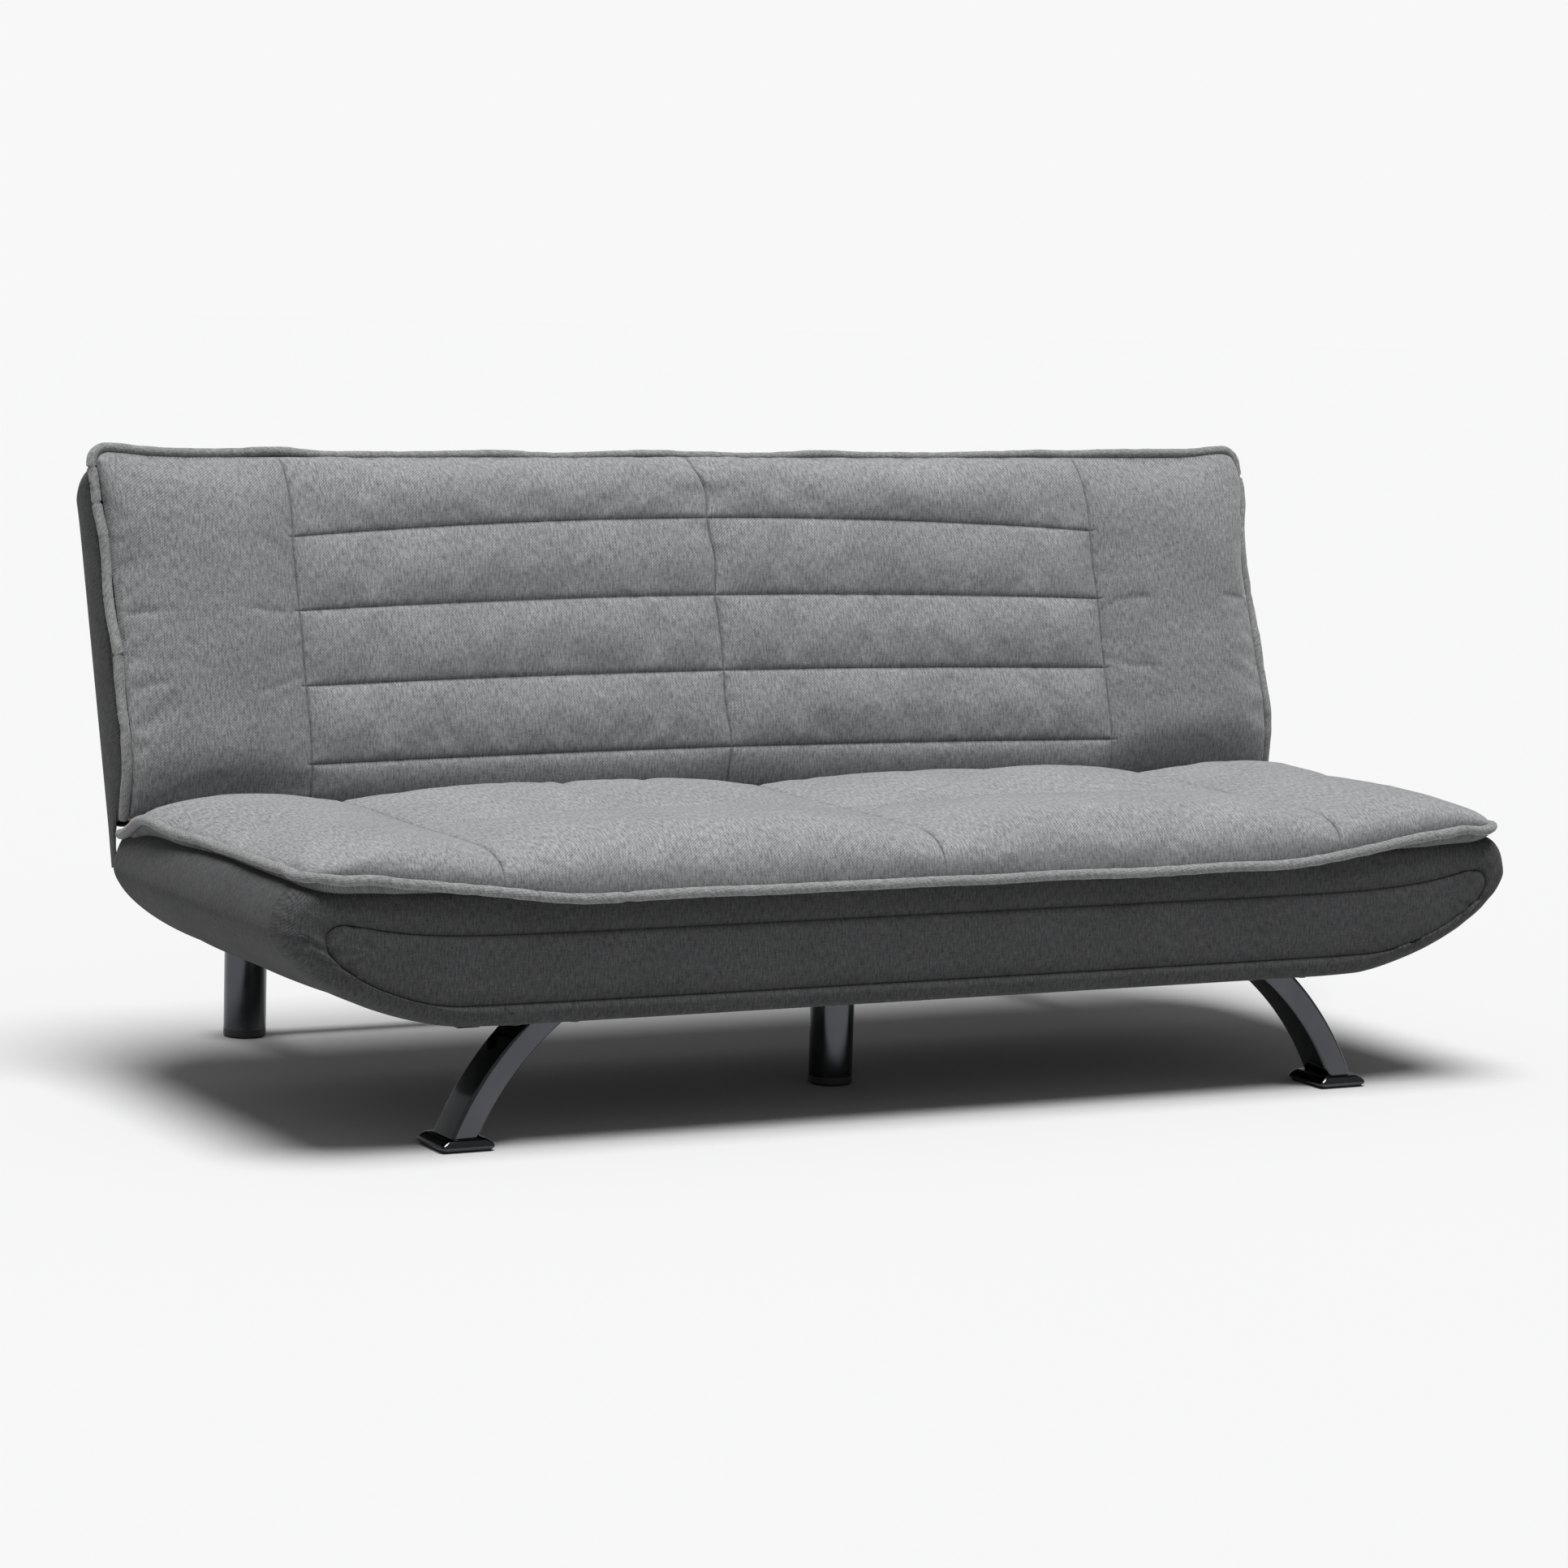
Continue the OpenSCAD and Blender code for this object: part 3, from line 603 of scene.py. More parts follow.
FRAME_FINISHES = {
    "plywood": Wood("birch_ply", (0.50, 0.34, 0.20), (0.70, 0.53, 0.35)),
    "timber": Wood("pine", (0.55, 0.38, 0.22), (0.76, 0.58, 0.38)),
    "hardboard": Wood("pressed_board", (0.30, 0.19, 0.11), (0.44, 0.30, 0.18), (90.0, 90.0, 90.0), 0.7),
    "bottom_cloth": Fibre("dust_cloth", (0.02, 0.02, 0.022), (0.055, 0.055, 0.058)),
    "felt": Fibre("grey_felt", (0.030, 0.031, 0.033), (0.085, 0.086, 0.090)),
    "spring_steel": Metal("spring_wire", (0.50, 0.51, 0.52), 0.32, 0.08, 0.2),
    "clip_steel": Metal("clip_steel", (0.22, 0.22, 0.23), 0.42, 0.08, 0.1),
    "frame_paint": Moulded("black_paint", (0.018, 0.018, 0.019), (0.032, 0.032, 0.034), 0.45),
    "leg_chrome": Metal("black_chrome", (0.082, 0.086, 0.095), 0.15, 0.07, 0.0, 0.15),
    "foot_chrome": Metal("foot_chrome", (0.075, 0.077, 0.085), 0.10, 0.05, 0.0, 0.2),
    "glide_rubber": Moulded("glide_rubber", (0.012, 0.012, 0.012), (0.03, 0.03, 0.03), 0.75, 0.3),
    "cap_plastic": Moulded("cap_plastic", (0.015, 0.015, 0.016), (0.028, 0.028, 0.03), 0.4, 0.2),
    "zinc_steel": Metal("zinc_plate", (0.58, 0.57, 0.52), 0.34, 0.1, 0.15),
    "pad_fabric": Cloth.PAD.value,
    "piping_fabric": Cloth.PIPING.value,
    "hull_fabric": Cloth.HULL.value,
}


# ---------------------------------------------------------------- quilted pads

@dataclass
class Seam:
    """A sewn line on the flat cloth: across at a fixed place, from lo to hi."""

    at: float
    lo: float
    hi: float
    reach: float
    pull: float


def rise(d: Field, run: float, power: float) -> Field:
    """Height of a pillow's edge from 0 at the border to 1 once run metres in."""
    t = 1.0 - np.clip(d / run, 0.0, 1.0)
    return (1.0 - t ** power) ** (1.0 / power)


def hump(d: Field, reach: float) -> Field:
    """0 in a seam and 1 once reach metres away, steep beside the seam."""
    t = 1.0 - np.clip(np.abs(d) / reach, 0.0, 1.0)
    return 1.0 - t ** 2.2


@dataclass
class Quilt:
    """A pad's flat layout: a runs across the sofa, b from its low to its high border."""

    half: float
    b_lo: float
    b_hi: float
    down_seams: list[Seam]
    cross_seams: list[Seam]
    run_side: float
    run_lo: float
    run_hi: float
    seed: int

    def lines(self, coarse: float, fine: float) -> tuple[Field, Field]:
        """Grid lines in a and b, close together at seams and borders.

        Args:
            coarse: the widest spacing.
            fine: the spacing beside a seam.

        Returns:
            The lines in a and those in b.
        """
        a = spaced([-self.half] + [s.at for s in self.down_seams] + [self.half], coarse, fine)
        b = spaced([self.b_lo] + [s.at for s in self.cross_seams] + [self.b_hi], coarse, fine)
        return a, b

    def within(self, s: Seam, c: Field) -> Field:
        """1 where a seam runs and 0 beyond its ends."""
        soft = 12 * MM
        return smooth_step((c - s.lo) / soft + 1.0) * smooth_step((s.hi - c) / soft + 1.0)

    def puff(self, a: Field, b: Field) -> Field:
        """Fullness of the filling: 0 in the seams, 1 in the middle of a panel.

        Args:
            a: flat places across the pad.
            b: flat places along it.

        Returns:
            The fullness at each place.
        """
        full = np.ones_like(a)
        for s in self.down_seams:
            full *= 1.0 - self.within(s, b) * s.pull * (1.0 - hump(a - s.at, s.reach))
        for s in self.cross_seams:
            full *= 1.0 - self.within(s, a) * s.pull * (1.0 - hump(b - s.at, s.reach))
        return full

    def seam_depth(self, a: Field, b: Field, width: float) -> Field:
        """1 on a seam line, falling off within a few widths.

        Args:
            a: flat places across the pad.
            b: flat places along it.
            width: the width that it falls off in.

        Returns:
            The depth at each place.
        """
        deep = np.zeros_like(a)
        for s in self.down_seams:
            deep = np.maximum(deep, self.within(s, b) * np.exp(-np.abs(a - s.at) / width))
        for s in self.cross_seams:
            deep = np.maximum(deep, self.within(s, a) * np.exp(-np.abs(b - s.at) / width))
        return deep

    def gathers(self, a: Field, b: Field) -> Field:
        """Small folds that the stitching draws up across the seams and along the border.

        Args:
            a: flat places across the pad.
            b: flat places along it.

        Returns:
            The folds' height at each place, about -1 to 1.
        """
        fold = np.zeros_like(a)
        for i, s in enumerate(self.down_seams):
            d = np.abs(a - s.at)
            right, left = ripple(b, self.seed + 17 + i, 0.05), ripple(b, self.seed + i, 0.05)
            wave = np.where(a > s.at, right, left)
            burst = np.clip(ripple(b, self.seed + 40 + i, 0.35, 4) + 0.15, 0, 1)
            fold += self.within(s, b) * wave * burst * np.exp(-d / 0.022) * (1 - np.exp(-d / 0.004))
        for i, s in enumerate(self.cross_seams):
            d = np.abs(b - s.at)
            above, below = ripple(a, self.seed + 60 + i, 0.06), ripple(a, self.seed + 80 + i, 0.06)
            wave = np.where(b > s.at, above, below)
            burst = np.clip(ripple(a, self.seed + 90 + i, 0.5, 4), 0, 1)
            fold += self.within(s, a) * wave * burst * np.exp(-d / 0.016) * (1 - np.exp(-d / 0.004))
        d = self.half - np.abs(a)
        wave = np.where(a > 0, ripple(b, self.seed + 101, 0.06), ripple(b, self.seed + 102, 0.06))
        burst = np.clip(ripple(b, self.seed + 103, 0.3, 4) + 0.25, 0, 1)
        fold += 1.1 * wave * burst * np.exp(-d / 0.04) * (1 - np.exp(-d / 0.01))
        for d, seed in ((b - self.b_lo, 111), (self.b_hi - b, 121)):
            burst = np.clip(ripple(a, self.seed + seed + 1, 0.4, 4), 0, 1)
            fold += ripple(a, self.seed + seed, 0.07) * burst * np.exp(-d / 0.03) * (1 - np.exp(-d / 0.01))
        return fold


def remember(piece: Piece, **values: Field) -> None:
    """Stores one number per vertex under each name, which later subdivision keeps.

    Args:
        piece: the piece.
        values: the numbers, by name.
    """
    for key, value in values.items():
        piece.data.attributes.new(key, "FLOAT", "POINT").data.foreach_set(
            "value", value.astype(np.float32).reshape(-1))


def recall(piece: Piece, key: str) -> Field:
    """Reads back what remember() stored, and removes it from the piece.

    Args:
        piece: the piece.
        key: the name that they are stored under.

    Returns:
        One number per vertex.
    """
    layer = piece.data.attributes[key]
    out = np.empty(len(piece.data.vertices), dtype=np.float32)
    layer.data.foreach_get("value", out)
    piece.data.attributes.remove(layer)
    return out.astype(float)


def outward(piece: Piece) -> Field:
    """Unit normals at the vertices.

    Args:
        piece: the piece to read.

    Returns:
        n x 3 normals.
    """
    out = np.empty(len(piece.data.vertices) * 3, dtype=np.float32)
    piece.data.vertex_normals.foreach_get("vector", out)
    return out.reshape(-1, 3).astype(float)


def puff_up(piece: Piece, held: Field, loose: Field, pressure: float, cap: float,
            frames: int = 20) -> None:
    """Fills a sewn pad with Cloth pressure, with its seams and border held.

    Args:
        piece: the pad's top cloth.
        held: how firmly each vertex is held, from 0 to 1.
        loose: the share of the filling's movement that each vertex keeps.
        pressure: the filling's pressure.
        cap: the farthest that a point may move, in metres.
        frames: how many frames the filling takes.
    """
    start = places(piece)
    group = piece.vertex_groups.new(name="held")
    for level in (1.0, 0.5, 0.2):
        chosen = np.nonzero((held >= level) & (held < level * 2))[0]
        group.add([int(i) for i in chosen], level, "REPLACE")
    cloth = piece.modifiers.new("filling", "CLOTH")
    s = cloth.settings
    s.quality = 5
    s.mass = 0.25
    s.tension_stiffness = s.compression_stiffness = 14
    s.shear_stiffness = 6
    s.bending_stiffness = 0.4
    s.vertex_group_mass = "held"
    s.use_pressure = True
    s.uniform_pressure_force = pressure
    s.shrink_min = -0.012
    s.effector_weights.gravity = 0.0
    cloth.collision_settings.use_collision = False
    cloth.point_cache.frame_start, cloth.point_cache.frame_end = 1, frames
    scene = bpy.context.scene
    for frame in range(1, frames + 1):
        scene.frame_set(frame)
    pick_only(piece)
    bpy.ops.object.modifier_apply(modifier=cloth.name)
    scene.frame_set(1)
    piece.vertex_groups.clear()
    move = places(piece) - start
    far = np.linalg.norm(move, axis=1, keepdims=True)
    log.info("%s: filling moved points by up to %.1f mm", piece.name, far.max() * 1000)
    put(piece, start + move * np.minimum(1.0, cap / np.maximum(far, 1e-9)) * loose[:, None])


def pick_open_border() -> None:
    """Selects the open edges of the sheet that is in edit mode."""
    bpy.ops.mesh.select_all(action="DESELECT")
    bpy.ops.mesh.select_non_manifold(extend=False, use_wire=False, use_multi_face=False,
                                     use_non_contiguous=False, use_verts=False)


def close_under(piece: Piece, rings: list[Callable[[Field], Field]]) -> None:
    """Carries the open border of a pad under it, ring by ring, and closes it.

    Args:
        piece: an open sheet.
        rings: functions from border points to the next ring's points.
    """
    pick_only(piece)
    for ring in rings:
        old = len(piece.data.vertices)
        bpy.ops.object.mode_set(mode="EDIT")
        bpy.ops.mesh.select_mode(type="EDGE")
        pick_open_border()
        bpy.ops.mesh.extrude_region_move(TRANSFORM_OT_translate={"value": (0, 0, 0)})
        bpy.ops.object.mode_set(mode="OBJECT")
        co = places(piece)
        co[old:] = ring(co[old:])
        put(piece, co)
    bpy.ops.object.mode_set(mode="EDIT")
    pick_open_border()
    bpy.ops.mesh.edge_face_add()
    bpy.ops.mesh.select_all(action="SELECT")
    bpy.ops.mesh.normals_make_consistent(inside=False)
    bpy.ops.mesh.select_mode(type="VERT")
    bpy.ops.object.mode_set(mode="OBJECT")


def round_corners(a: Field, b: Field, half: float, edge: float, toward: float, r: float
                  ) -> tuple[Field, Field]:
    """Rounds the two corners of a rectangle at b = edge.

    Args:
        a: places across.
        b: places along.
        half: half the rectangle's width.
        edge: the border that has the corners.
        toward: +1 if the rectangle lies above the border, -1 if below.
        r: the corners' radius.

    Returns:
        The rounded places.
    """
    p = np.clip((np.abs(a) - (half - r)) / r, 0, 1)
    q = np.clip(1 - toward * (b - edge) / r, 0, 1)
    inside = (p > 0) & (q > 0)
    pp = np.where(inside, p * np.sqrt(1 - q * q / 2), p)
    qq = np.where(inside, q * np.sqrt(1 - p * p / 2), q)
    a2 = np.where(inside, np.sign(a) * (half - r + r * pp), a)
    b2 = np.where(inside, edge + toward * r * (1 - qq), b)
    return a2, b2


def cord_along(name: str, path: Field, radius: Field, sides: int = 12) -> Piece:
    """Piping: cloth sewn round a cord that follows path, closed at both ends.

    Args:
        name: the piece's name.
        path: n x 3 points.
        radius: the cord's radius at each point.
        sides: points round the cord.

    Returns:
        The piping, its weave laid on the bias.
    """
    step = np.gradient(path, axis=0)
    tangent = step / np.linalg.norm(step, axis=1, keepdims=True)
    ref = np.array([0.0, 0.35, 0.94])
    first = np.cross(tangent, ref)
    first /= np.linalg.norm(first, axis=1, keepdims=True)
    second = np.cross(first, tangent)
    turn = np.linspace(0, 2 * math.pi, sides + 1)
    middle = len(path) - 2
    order = np.array([0] * 3 + list(range(1, middle + 1)) + [middle + 1] * 3)
    swell = np.array([0.0, 0.75, 1.0] + [1.0] * middle + [1.0, 0.75, 0.0])
    past = np.array([-1.0, -0.7, 0.0] + [0.0] * middle + [0.0, 0.7, 1.0]) * radius[order]
    centre = path[order] + tangent[order] * past[:, None]
    round_it = (first[order][:, None] * np.cos(turn)[None, :, None]
                + second[order][:, None] * np.sin(turn)[None, :, None])
    pts = centre[:, None] + (radius[order] * swell)[:, None, None] * round_it
    lane = turn[None, :] * float(radius.mean()) + np.zeros((len(order), 1))
    along = (run_along(path)[order] + past)[:, None] + np.zeros((1, sides + 1))
    uv = np.stack([along * 0.7 + lane * 0.7, along * 0.7 - lane * 0.7], axis=2)
    piece = cloth_grid(name, pts, uv)
    merge_and_face_out(piece)
    shade_soft(piece, 80)
    return piece


@dataclass
class SeatCushion:
    """The pillow-top seat pad, sewn into four columns, with piping round its front and sides.

    Attributes:
        half: half its width.
        front: y of its front border.
        rear: y where the filling ends.
        lip: y where the cloth ends, under the backrest.
        base: height of its underside.
        valley: height of the cloth in the seams.
        fullness: how far the filling rises above the seams.
        corner: radius of its front corners in plan.
        cord: radius of the piping.
        quilt: its seams.
    """

    half: float = 0.888
    front: float = -0.457
    rear: float = 0.117
    lip: float = 0.149
    base: float = 0.3335
    valley: float = 0.380
    fullness: float = 0.021
    corner: float = 0.042
    cord: float = 7 * MM
    quilt: Quilt = field(init=False)

    def __post_init__(self) -> None:
        """Lays out the seams."""
        low, high = self.front, self.lip
        self.quilt = Quilt(
            self.half, low, high,
            [Seam(-0.626, low, high, 0.23, 1.0), Seam(0.006, low, high, 0.23, 1.0),
             Seam(0.628, low, high, 0.23, 1.0)],
            [Seam(-0.172, -0.60, 0.60, 0.17, 0.75)],
            0.13, 0.095, 0.08, 3)

    def edge_height(self, x: Field, y: Field) -> Field:
        """Height of the border: it hangs in the middle of the front and lifts at the corners.

        Args:
            x: places across the sofa.
            y: places along its depth.

        Returns:
            The heights there.
        """
        front = 0.318 + 0.037 * smooth_step((np.abs(x) - 0.50) / 0.37)
        drop = 1.0 - smooth_step((y - 0.070) / 0.080)
        swell = 0.009 * np.exp(-((y - 0.035) / 0.05) ** 2)
        side = self.base + (0.024 + swell) * smooth_step((np.abs(x) - 0.80) / 0.08) * drop
        return front + (side - front) * smooth_step((y - self.front - 0.015) / 0.06)

    def ear(self, x: Field, y: Field) -> Field:
        """How far the corners stand out sideways: the left one at the rear, the right one in front."""
        left = -0.019 * smooth_step((y + 0.16) / 0.20) * smooth_step((-x - 0.72) / 0.16)
        return left + 0.010 * smooth_step((-y - 0.30) / 0.12) * smooth_step((x - 0.72) / 0.16)

    def shape(self, a: Field, b: Field, puff: float) -> Field:
        """Places of the top cloth for flat places a and b.

        Args:
            a: flat places across the pad.
            b: flat places along it.
            puff: the share of the fullness that is drawn.

        Returns:
            The places in the sofa.
        """
        q = self.quilt
        low = self.edge_height(a, b)
        top = self.valley + self.fullness * q.puff(a, b) * puff
        d_front, d_side = b - q.b_lo, q.half - np.abs(a)
        lift = rise(d_front, q.run_lo, 2.5) * rise(d_side, q.run_side, 2.1) * rise(self.rear - b, 0.05, 2.0)
        z = low + (top - low) * lift
        t = np.clip(d_front / q.run_lo, 0, 1)
        full = 0.45 + 0.55 * q.puff(a, np.full_like(b, -0.36))
        y = b - 0.018 * full * np.sin(math.pi * t ** 0.8) * (1 - t) * rise(d_side, 0.08, 2.0)
        t = np.clip(d_side / q.run_side, 0, 1)
        x = a + np.sign(a) * 0.012 * np.sin(math.pi * t ** 0.8) * (1 - t) * rise(d_front, 0.08, 2.0)
        x, y = round_corners(x, y, self.half, self.front, 1.0, self.corner)
        return np.stack([x + self.ear(x, y), y, z], axis=-1)

    def pad(self, cloth: bpy.types.Material) -> Piece:
        """Builds the pad: sewn, filled, then its seams and folds drawn in.

        Args:
            cloth: the pad's finish.

        Returns:
            The pad.
        """
        q = self.quilt
        a_line, b_line = q.lines(10 * MM, 3 * MM)
        b, a = np.meshgrid(b_line, a_line, indexing="ij")
        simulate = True
        pts = self.shape(a, b, 0.55 if simulate else 1.0)
        uu, vv = np.meshgrid(run_along(pts[len(b_line) // 3]), run_along(pts[:, len(a_line) // 3]))
        piece = cloth_grid("seat_cushion", pts, np.stack([uu, vv], axis=-1))
        remember(piece, flat_a=a, flat_b=b)
        if simulate:
            held = np.where(q.seam_depth(a, b, 2.2 * MM) > 0.9, 1.0, 0.0)
            held[[0, -1], :] = held[:, [0, -1]] = 1.0
            held[b > self.rear - 0.03] = 1.0
            puff_up(piece, held.reshape(-1), q.puff(a, b).reshape(-1) ** 0.7, 1.6, 0.013)
        finer = piece.modifiers.new("finer", "SUBSURF")
        finer.levels = finer.render_levels = 1
        apply_modifiers(piece)
        a1, b1 = recall(piece, "flat_a"), recall(piece, "flat_b")
        out = outward(piece)
        inside = np.minimum.reduce([q.half - np.abs(a1), b1 - q.b_lo, self.rear - b1])
        still = smooth_step(inside / 0.012)
        groove = q.seam_depth(a1, b1, 3.5 * MM) * still
        move = 1.1 * MM * q.gathers(a1, b1) * still - 4.0 * MM * groove
        move += 1.2 * MM * still * (ripple(a1 * 0.8 + b1 * 0.3, 7, 0.5, 5) + ripple(b1 - 0.2 * a1, 9, 0.4, 5))
        put(piece, places(piece) + out * move[:, None])
        # Painted shade: dark lines in the seams and along the border where the pad meets the piping.
        painted_shade = q.seam_depth(a1, b1, 1.6 * MM)
        edge = np.exp(-np.minimum(q.half - np.abs(a1), b1 - q.b_lo) / 0.004)
        write_painted_shade(piece, np.maximum(painted_shade * smooth_step((inside + 0.01) / 0.01), 0.8 * edge))
        floor = self.base - 4.0 * MM

        def tuck(p: Field, inward: float, z: Field) -> Field:
            """Border points moved in under the pad, at heights z.

            Args:
                p: the border points.
                inward: how far they move in.
                z: their heights.

            Returns:
                The moved points.
            """
            scale_x = (self.half - inward) / self.half
            y = np.where(p[:, 1] < 0.0, self.front + inward + (p[:, 1] - self.front) * (1 - inward / 0.6),
                         p[:, 1])
            return np.stack([p[:, 0] * scale_x, y, z], axis=-1)

        def hang(p: Field, most: float) -> Field:
            """The cloth below the piping hangs where the border stands clear of the hull."""
            return p[:, 2] - np.clip(p[:, 2] - self.base, 0, most)

        close_under(piece, [
            lambda p: tuck(p, 0.001, hang(p, 5 * MM)),
            lambda p: tuck(p, 0.001, hang(p, 6 * MM)),
            lambda p: tuck(p, 0.006, hang(p, 5 * MM)),
            lambda p: tuck(p, 0.016, np.minimum(p[:, 2], floor)),
            lambda p: tuck(p, 0.030, np.full(len(p), floor))])
        shade_soft(piece, 70)
        dress(piece, cloth)
        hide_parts("seat_pad")
        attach(piece, "base")
        return piece

    def piping(self, cloth: bpy.types.Material) -> Piece:
        """Builds the cord that edges the pad, wavy as it is sewn.

        Args:
            cloth: the cord's finish.

        Returns:
            The cord.
        """
        x0, y0, r = self.half + 4 * MM, self.front - 4 * MM, self.corner + 4 * MM
        side = np.arange(self.lip - 3 * MM, y0 + r, -6 * MM)
        arc = np.linspace(0, math.pi / 2, 12)
        run = np.arange(-(x0 - r), x0 - r, 6 * MM)
        left = np.stack([np.full_like(side, -x0), side], axis=1)
        bend = np.stack([-(x0 - r) - r * np.cos(arc), y0 + r - r * np.sin(arc)], axis=1)[1:-1]
        middle = np.stack([run, np.full_like(run, y0)], axis=1)
        plan = np.concatenate([left, bend, middle, (bend * [-1, 1])[::-1], (left * [-1, 1])[::-1]])
        x, y = plan[:, 0], plan[:, 1]
        s = run_along(plan)
        z = self.edge_height(x, y) + 1.0 * MM
        near_corner = np.exp(-((np.abs(x) - 0.84) / 0.09) ** 2) * np.exp(-((y - self.front) / 0.12) ** 2)
        z += 1.1 * MM * ripple(s, 21, 0.35) + 2.6 * MM * near_corner * ripple(s, 22, 0.09)
        tail = smooth_step((y - 0.02) / 0.05)
        z = z * (1 - tail) + (self.edge_height(x, y) + 1.0 * MM) * tail
        z = np.maximum(z, np.where(y > -0.40, self.base + 2 * MM, 0.0))
        wander = 1.6 * MM * ripple(s, 23, 0.25) * (1 - tail)
        out_x = np.where(np.abs(x) > x0 - 1e-4, np.sign(x), 0)
        out_y = np.where(y < y0 + 1e-4, -1, 0)
        path = np.stack([x + self.ear(x, y) + out_x * wander, y + out_y * wander, z], axis=1)
        kernel = np.ones(5) / 5
        for k in range(3):
            path[2:-2, k] = np.convolve(path[:, k], kernel, "valid")
        tuck = sum(np.exp(-((s - at) / 0.006) ** 2) for at in (0.53, 0.60, 1.02, 2.31, 2.62))
        radius = self.cord * (1 + 0.05 * ripple(s, 24, 0.05)) * (1 - 0.2 * tuck)
        piece = cord_along("seat_edge_piping", path, radius)
        write_painted_shade(piece, np.zeros(len(piece.data.vertices)))
        dress(piece, cloth)
        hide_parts("seat_piping")
        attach(piece, "base")
        return piece


@dataclass
class BackFrame:
    """The leaning frame that the backrest is drawn in: v to the rear, u up the back."""

    y: float = 0.180
    z: float = 0.300
    lean: float = math.radians(15)

    def place(self, x: Field, v: Field, u: Field) -> Field:
        """Turns backrest places into sofa places."""
        c, s = math.cos(self.lean), math.sin(self.lean)
        return np.stack([x, self.y + c * v + s * u, self.z - s * v + c * u], axis=-1)


@dataclass
class BackCushion:
    """The channelled backrest pad with its piping, side borders and rear cover.

    Attributes:
        frame: the leaning frame that it is drawn in.
        half: half the pad's width.
        low: u of the pad's lower edge.
        high: u of its upper edge.
        fullness: how far the filling stands out between the seams.
        cord: radius of the piping.
        corner: radius of the pad's upper corners.
        shell_half: half the width of the cover behind the pad.
        shell_high: u of that cover's upper edge.
        shell_corner: radius of its upper corners.
        border_seam: place of the seam in the side border, from 0 at the pad to 1 at the rear.
        skirt: u where the rear of the side border ends.
        quilt: the pad's seams.
    """

    frame: BackFrame = field(default_factory=BackFrame)
    half: float = 0.890
    low: float = 0.044
    high: float = 0.534
    fullness: float = 0.011
    cord: float = 7 * MM
    corner: float = 0.020
    shell_half: float = 0.9035
    shell_high: float = 0.514
    shell_corner: float = 0.028
    border_seam: float = 0.22
    skirt: float = -0.014
    quilt: Quilt = field(init=False)

    def __post_init__(self) -> None:
        """Lays out the seams."""
        left, mid, right = -0.648, -0.014, 0.616
        down = [Seam(x, self.low, self.high, 0.10, 0.9) for x in (left, mid, right)]
        across = [Seam(u, left, right, 0.055, 1.0) for u in (0.104, 0.211, 0.314, 0.416)]
        self.quilt = Quilt(self.half, self.low, self.high, down, across, 0.07, 0.07, 0.12, 200)

    def flare(self, x: Field, u: Field) -> Field:
        """How far the side border stands out: the top corners most, the right side pulled in low down.

        Args:
            x: places across the back.
            u: places up it.

        Returns:
            The distance, signed as x is.
        """
        left = 0.012 + 0.005 * np.exp(-((0.535 - u) / 0.05) ** 2)
        right = -0.001 + 0.018 * smooth_step((u - 0.36) / 0.15)
        return np.sign(x) * np.where(x < 0, left, right)

    def near_side(self, x: Field) -> Field:
        """0 in the middle of the back and 1 at its sides."""
        return smooth_step((np.abs(x) - 0.80) / 0.09)

    def border_v(self, u: Field) -> Field:
        """Depth of the pad's sewn border, which comes forward towards the seat."""
        under = np.clip((0.16 - u) / 0.12, 0.0, 1.1)
        return -0.043 - 0.108 * np.clip(0.535 - u, 0.0, 0.375) + 0.034 * under ** 2

    def centre(self, a: Field) -> Field:
        """1 in the two channelled columns and 0 in the plain side ones."""
        return smooth_step((a + 0.655) / 0.05) * smooth_step((0.625 - a) / 0.05)

    def shape(self, a: Field, b: Field, puff: float) -> Field:
        """Places of the front cloth for flat places a and b.

        Args:
            a: flat places across the pad.
            b: flat places up it.
            puff: the share of the fullness that is drawn.

        Returns:
            The places in the sofa.
        """
        q = self.quilt
        full = q.puff(a, b)
        lift = (rise(q.half - np.abs(a), q.run_side, 2.3) * rise(b - q.b_lo, q.run_lo, 2.0)
                * rise(q.b_hi - b, q.run_hi, 1.75))
        plane = self.border_v(b) - 3.0 * MM
        c = lift * (0.088 + plane + self.fullness * full * puff)
        c = c * (1 - 0.35 * smooth_step((0.125 - b) / 0.06))
        arch_up = [0.04, 0.104, 0.211, 0.314, 0.416, 0.529]
        arch_size = np.interp(b, arch_up, [0, 0.007, 0.009, 0.014, 0.023, 0])
        arch = arch_size * np.clip(1 - ((a + 0.016) / 0.632) ** 2, 0, 1)
        t = np.clip((q.b_hi - b) / q.run_hi, 0, 1)
        top_row = q.puff(a, np.full_like(b, 0.47))
        over = 0.002 + 0.016 * self.centre(a) * (0.35 + 0.65 * top_row)
        u = b + arch + over * np.sin(math.pi * t ** 0.8) * (1 - t) * rise(q.half - np.abs(a), 0.05, 2.0)
        t = np.clip((q.half - np.abs(a)) / q.run_side, 0, 1)
        x = a + np.sign(a) * 0.006 * np.sin(math.pi * t ** 0.8) * (1 - t) * rise(q.b_hi - b, 0.05, 2.0)
        top = np.exp(-((self.high - b) / 0.07) ** 2)
        kink = (-0.011 * top + 2.5 * MM * ripple(b, 31, 0.12)) * np.exp(-((a + 0.014) / 0.05) ** 2)
        x = x + kink + 2.0 * MM * ripple(b, 32, 0.3) * np.exp(-((np.abs(a + 0.016) - 0.632) / 0.05) ** 2)
        x, u = round_corners(x, u, self.half, self.high, -1.0, self.corner)
        x = x + self.flare(x, u) * smooth_step((np.abs(x) - 0.72) / 0.17)
        u = u + 7.0 * MM * np.exp(-((np.abs(x) - 0.90) / 0.06) ** 2) * smooth_step((u - 0.44) / 0.09)
        return self.frame.place(x, plane - c, u)

